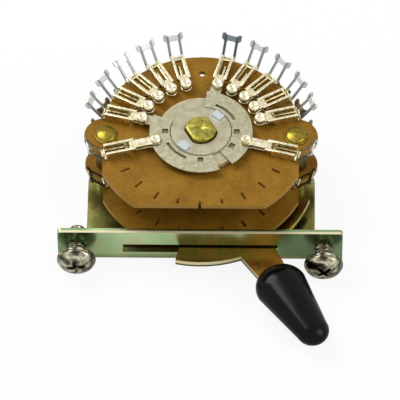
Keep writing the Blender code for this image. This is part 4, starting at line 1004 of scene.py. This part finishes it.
def thread_mesh(length):
    """Shank along +Z from 0, with a ridge that climbs one pitch in each turn."""
    radius, pitch, depth = (SCREW[k] * MM for k in ("radius", "pitch", "depth"))
    rows = int(length / pitch * PER_TURN)
    shape = bmesh.new()
    rings = []
    for row in range(rows + 1):
        z = length * row / rows
        taper = min(1.0, z / RUN_IN)
        ring = []
        for k in range(AROUND):
            turn = k / AROUND
            ridge = 0.5 + 0.5 * cos(2 * pi * (z / pitch - turn))
            r = radius - depth * (1.0 - ridge * taper)
            ring.append(shape.verts.new((r * cos(2 * pi * turn), r * sin(2 * pi * turn), z)))
        rings.append(ring)
    for lower, upper in zip(rings, rings[1:]):
        for k in range(AROUND):
            shape.faces.new((lower[k], lower[(k + 1) % AROUND], upper[(k + 1) % AROUND], upper[k]))
    shape.faces.new(list(reversed(rings[0])))
    return to_mesh(shape, "thread")


def head_mesh():
    """Domed head with its recess, its underside on z = 0."""
    r, rim, crown = (SCREW[k] * MM for k in ("head", "rim", "crown"))
    inside = r - HEAD_ROUND
    profile = dome(inside, crown, rim, 16) + arc(inside, rim - HEAD_ROUND, HEAD_ROUND, 80, 0, 4)
    profile += arc(inside, HEAD_ROUND, HEAD_ROUND, 0, -90, 4) + [(0.0, 0.0)]
    head = bpy.data.objects.new("head", turned(profile))
    cutters = []
    for angle in (0.0, 90.0):
        shape = bmesh.new()
        bmesh.ops.create_cube(shape, size=1.0)
        for vert in shape.verts:
            along, across, up = CROSS_BOTTOM if vert.co.z < 0 else CROSS_TOP
            vert.co = Vector((vert.co.x * along * MM, vert.co.y * across * MM, rim + crown + up * MM))
        turn = Matrix.Rotation(radians(angle), 3, "Z")
        bmesh.ops.rotate(shape, verts=shape.verts, cent=(0, 0, 0), matrix=turn)
        cutter = new_object("cross", to_mesh(shape, "cross"))
        cut = head.modifiers.new("cross", "BOOLEAN")
        cut.operation, cut.solver, cut.object = "DIFFERENCE", "EXACT", cutter
        cutters.append(cutter)
    made = mesh_of(head)
    for cutter in cutters:
        bpy.data.objects.remove(cutter)
    return made


print("thread turns in 4 mm:", 4 / SCREW["pitch"])

# %% Put the screws in the strip
TWIST = {"left": 12, "right": 40}        # degrees that each recess is turned
head = head_mesh()
for side in ("left", "right"):
    low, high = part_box("mounting_screw_" + side)
    middle = (low + high) / 2
    length = high.y - low.y - (SCREW["rim"] + SCREW["crown"]) * MM
    shank = thread_mesh(length)
    place = Matrix.Translation((middle.x, high.y, middle.z)) @ Matrix.Rotation(radians(90), 4, "X")
    twist = Matrix.Rotation(radians(TWIST[side]), 4, "Z")
    mesh = joined([(shank, Matrix.Identity(4)), (head, Matrix.Translation((0, 0, length)) @ twist)])
    put("screw_threaded_" + side, "mounting_screw_" + side, mesh, place, nickel_painted_reflections, 40.0)
print("strip's face at y", round(STRIP_FACE / MM, 2), "mm")

# %% [markdown]
# ## Lever tip
# The cap is a long drop, pressed a little flat. It is spun about its length from
# a smooth half outline, then scaled in height, so no facet shows.

# %% Smooth tip
TIP_LENGTH, TIP_WIDE, TIP_SLIM = 17.2 * MM, 8.8 * MM, 5.6 * MM
TIP_THICK, TIP_ROUND = 6.4 * MM, 4.2 * MM
TIP_START, TIP_HEIGHT = 23.2 * MM, 3.5 * MM
slim, wide = TIP_SLIM / 2, TIP_WIDE / 2
outline = dome(slim, slim, TIP_LENGTH - slim, 14)
outline += [(r, TIP_ROUND - z) for r, z in reversed(dome(wide, TIP_ROUND, 0.0, 16))]
mesh = turned(outline, 72)
mesh.transform(Matrix.Scale(TIP_THICK / TIP_WIDE, 4, (0, 0, 1)) @ Matrix.Rotation(radians(90), 4, "X"))
mesh.transform(Matrix.Rotation(LEVER_ANGLE, 4, "Z") @ Matrix.Translation((0, -TIP_START, 0)))
place = Matrix.Translation((axis_point.x, axis_point.y, TIP_HEIGHT))
put("tip_moulded", "lever_tip", mesh, place, black_tip, 60.0)
print("tip faces:", len(mesh.polygons))
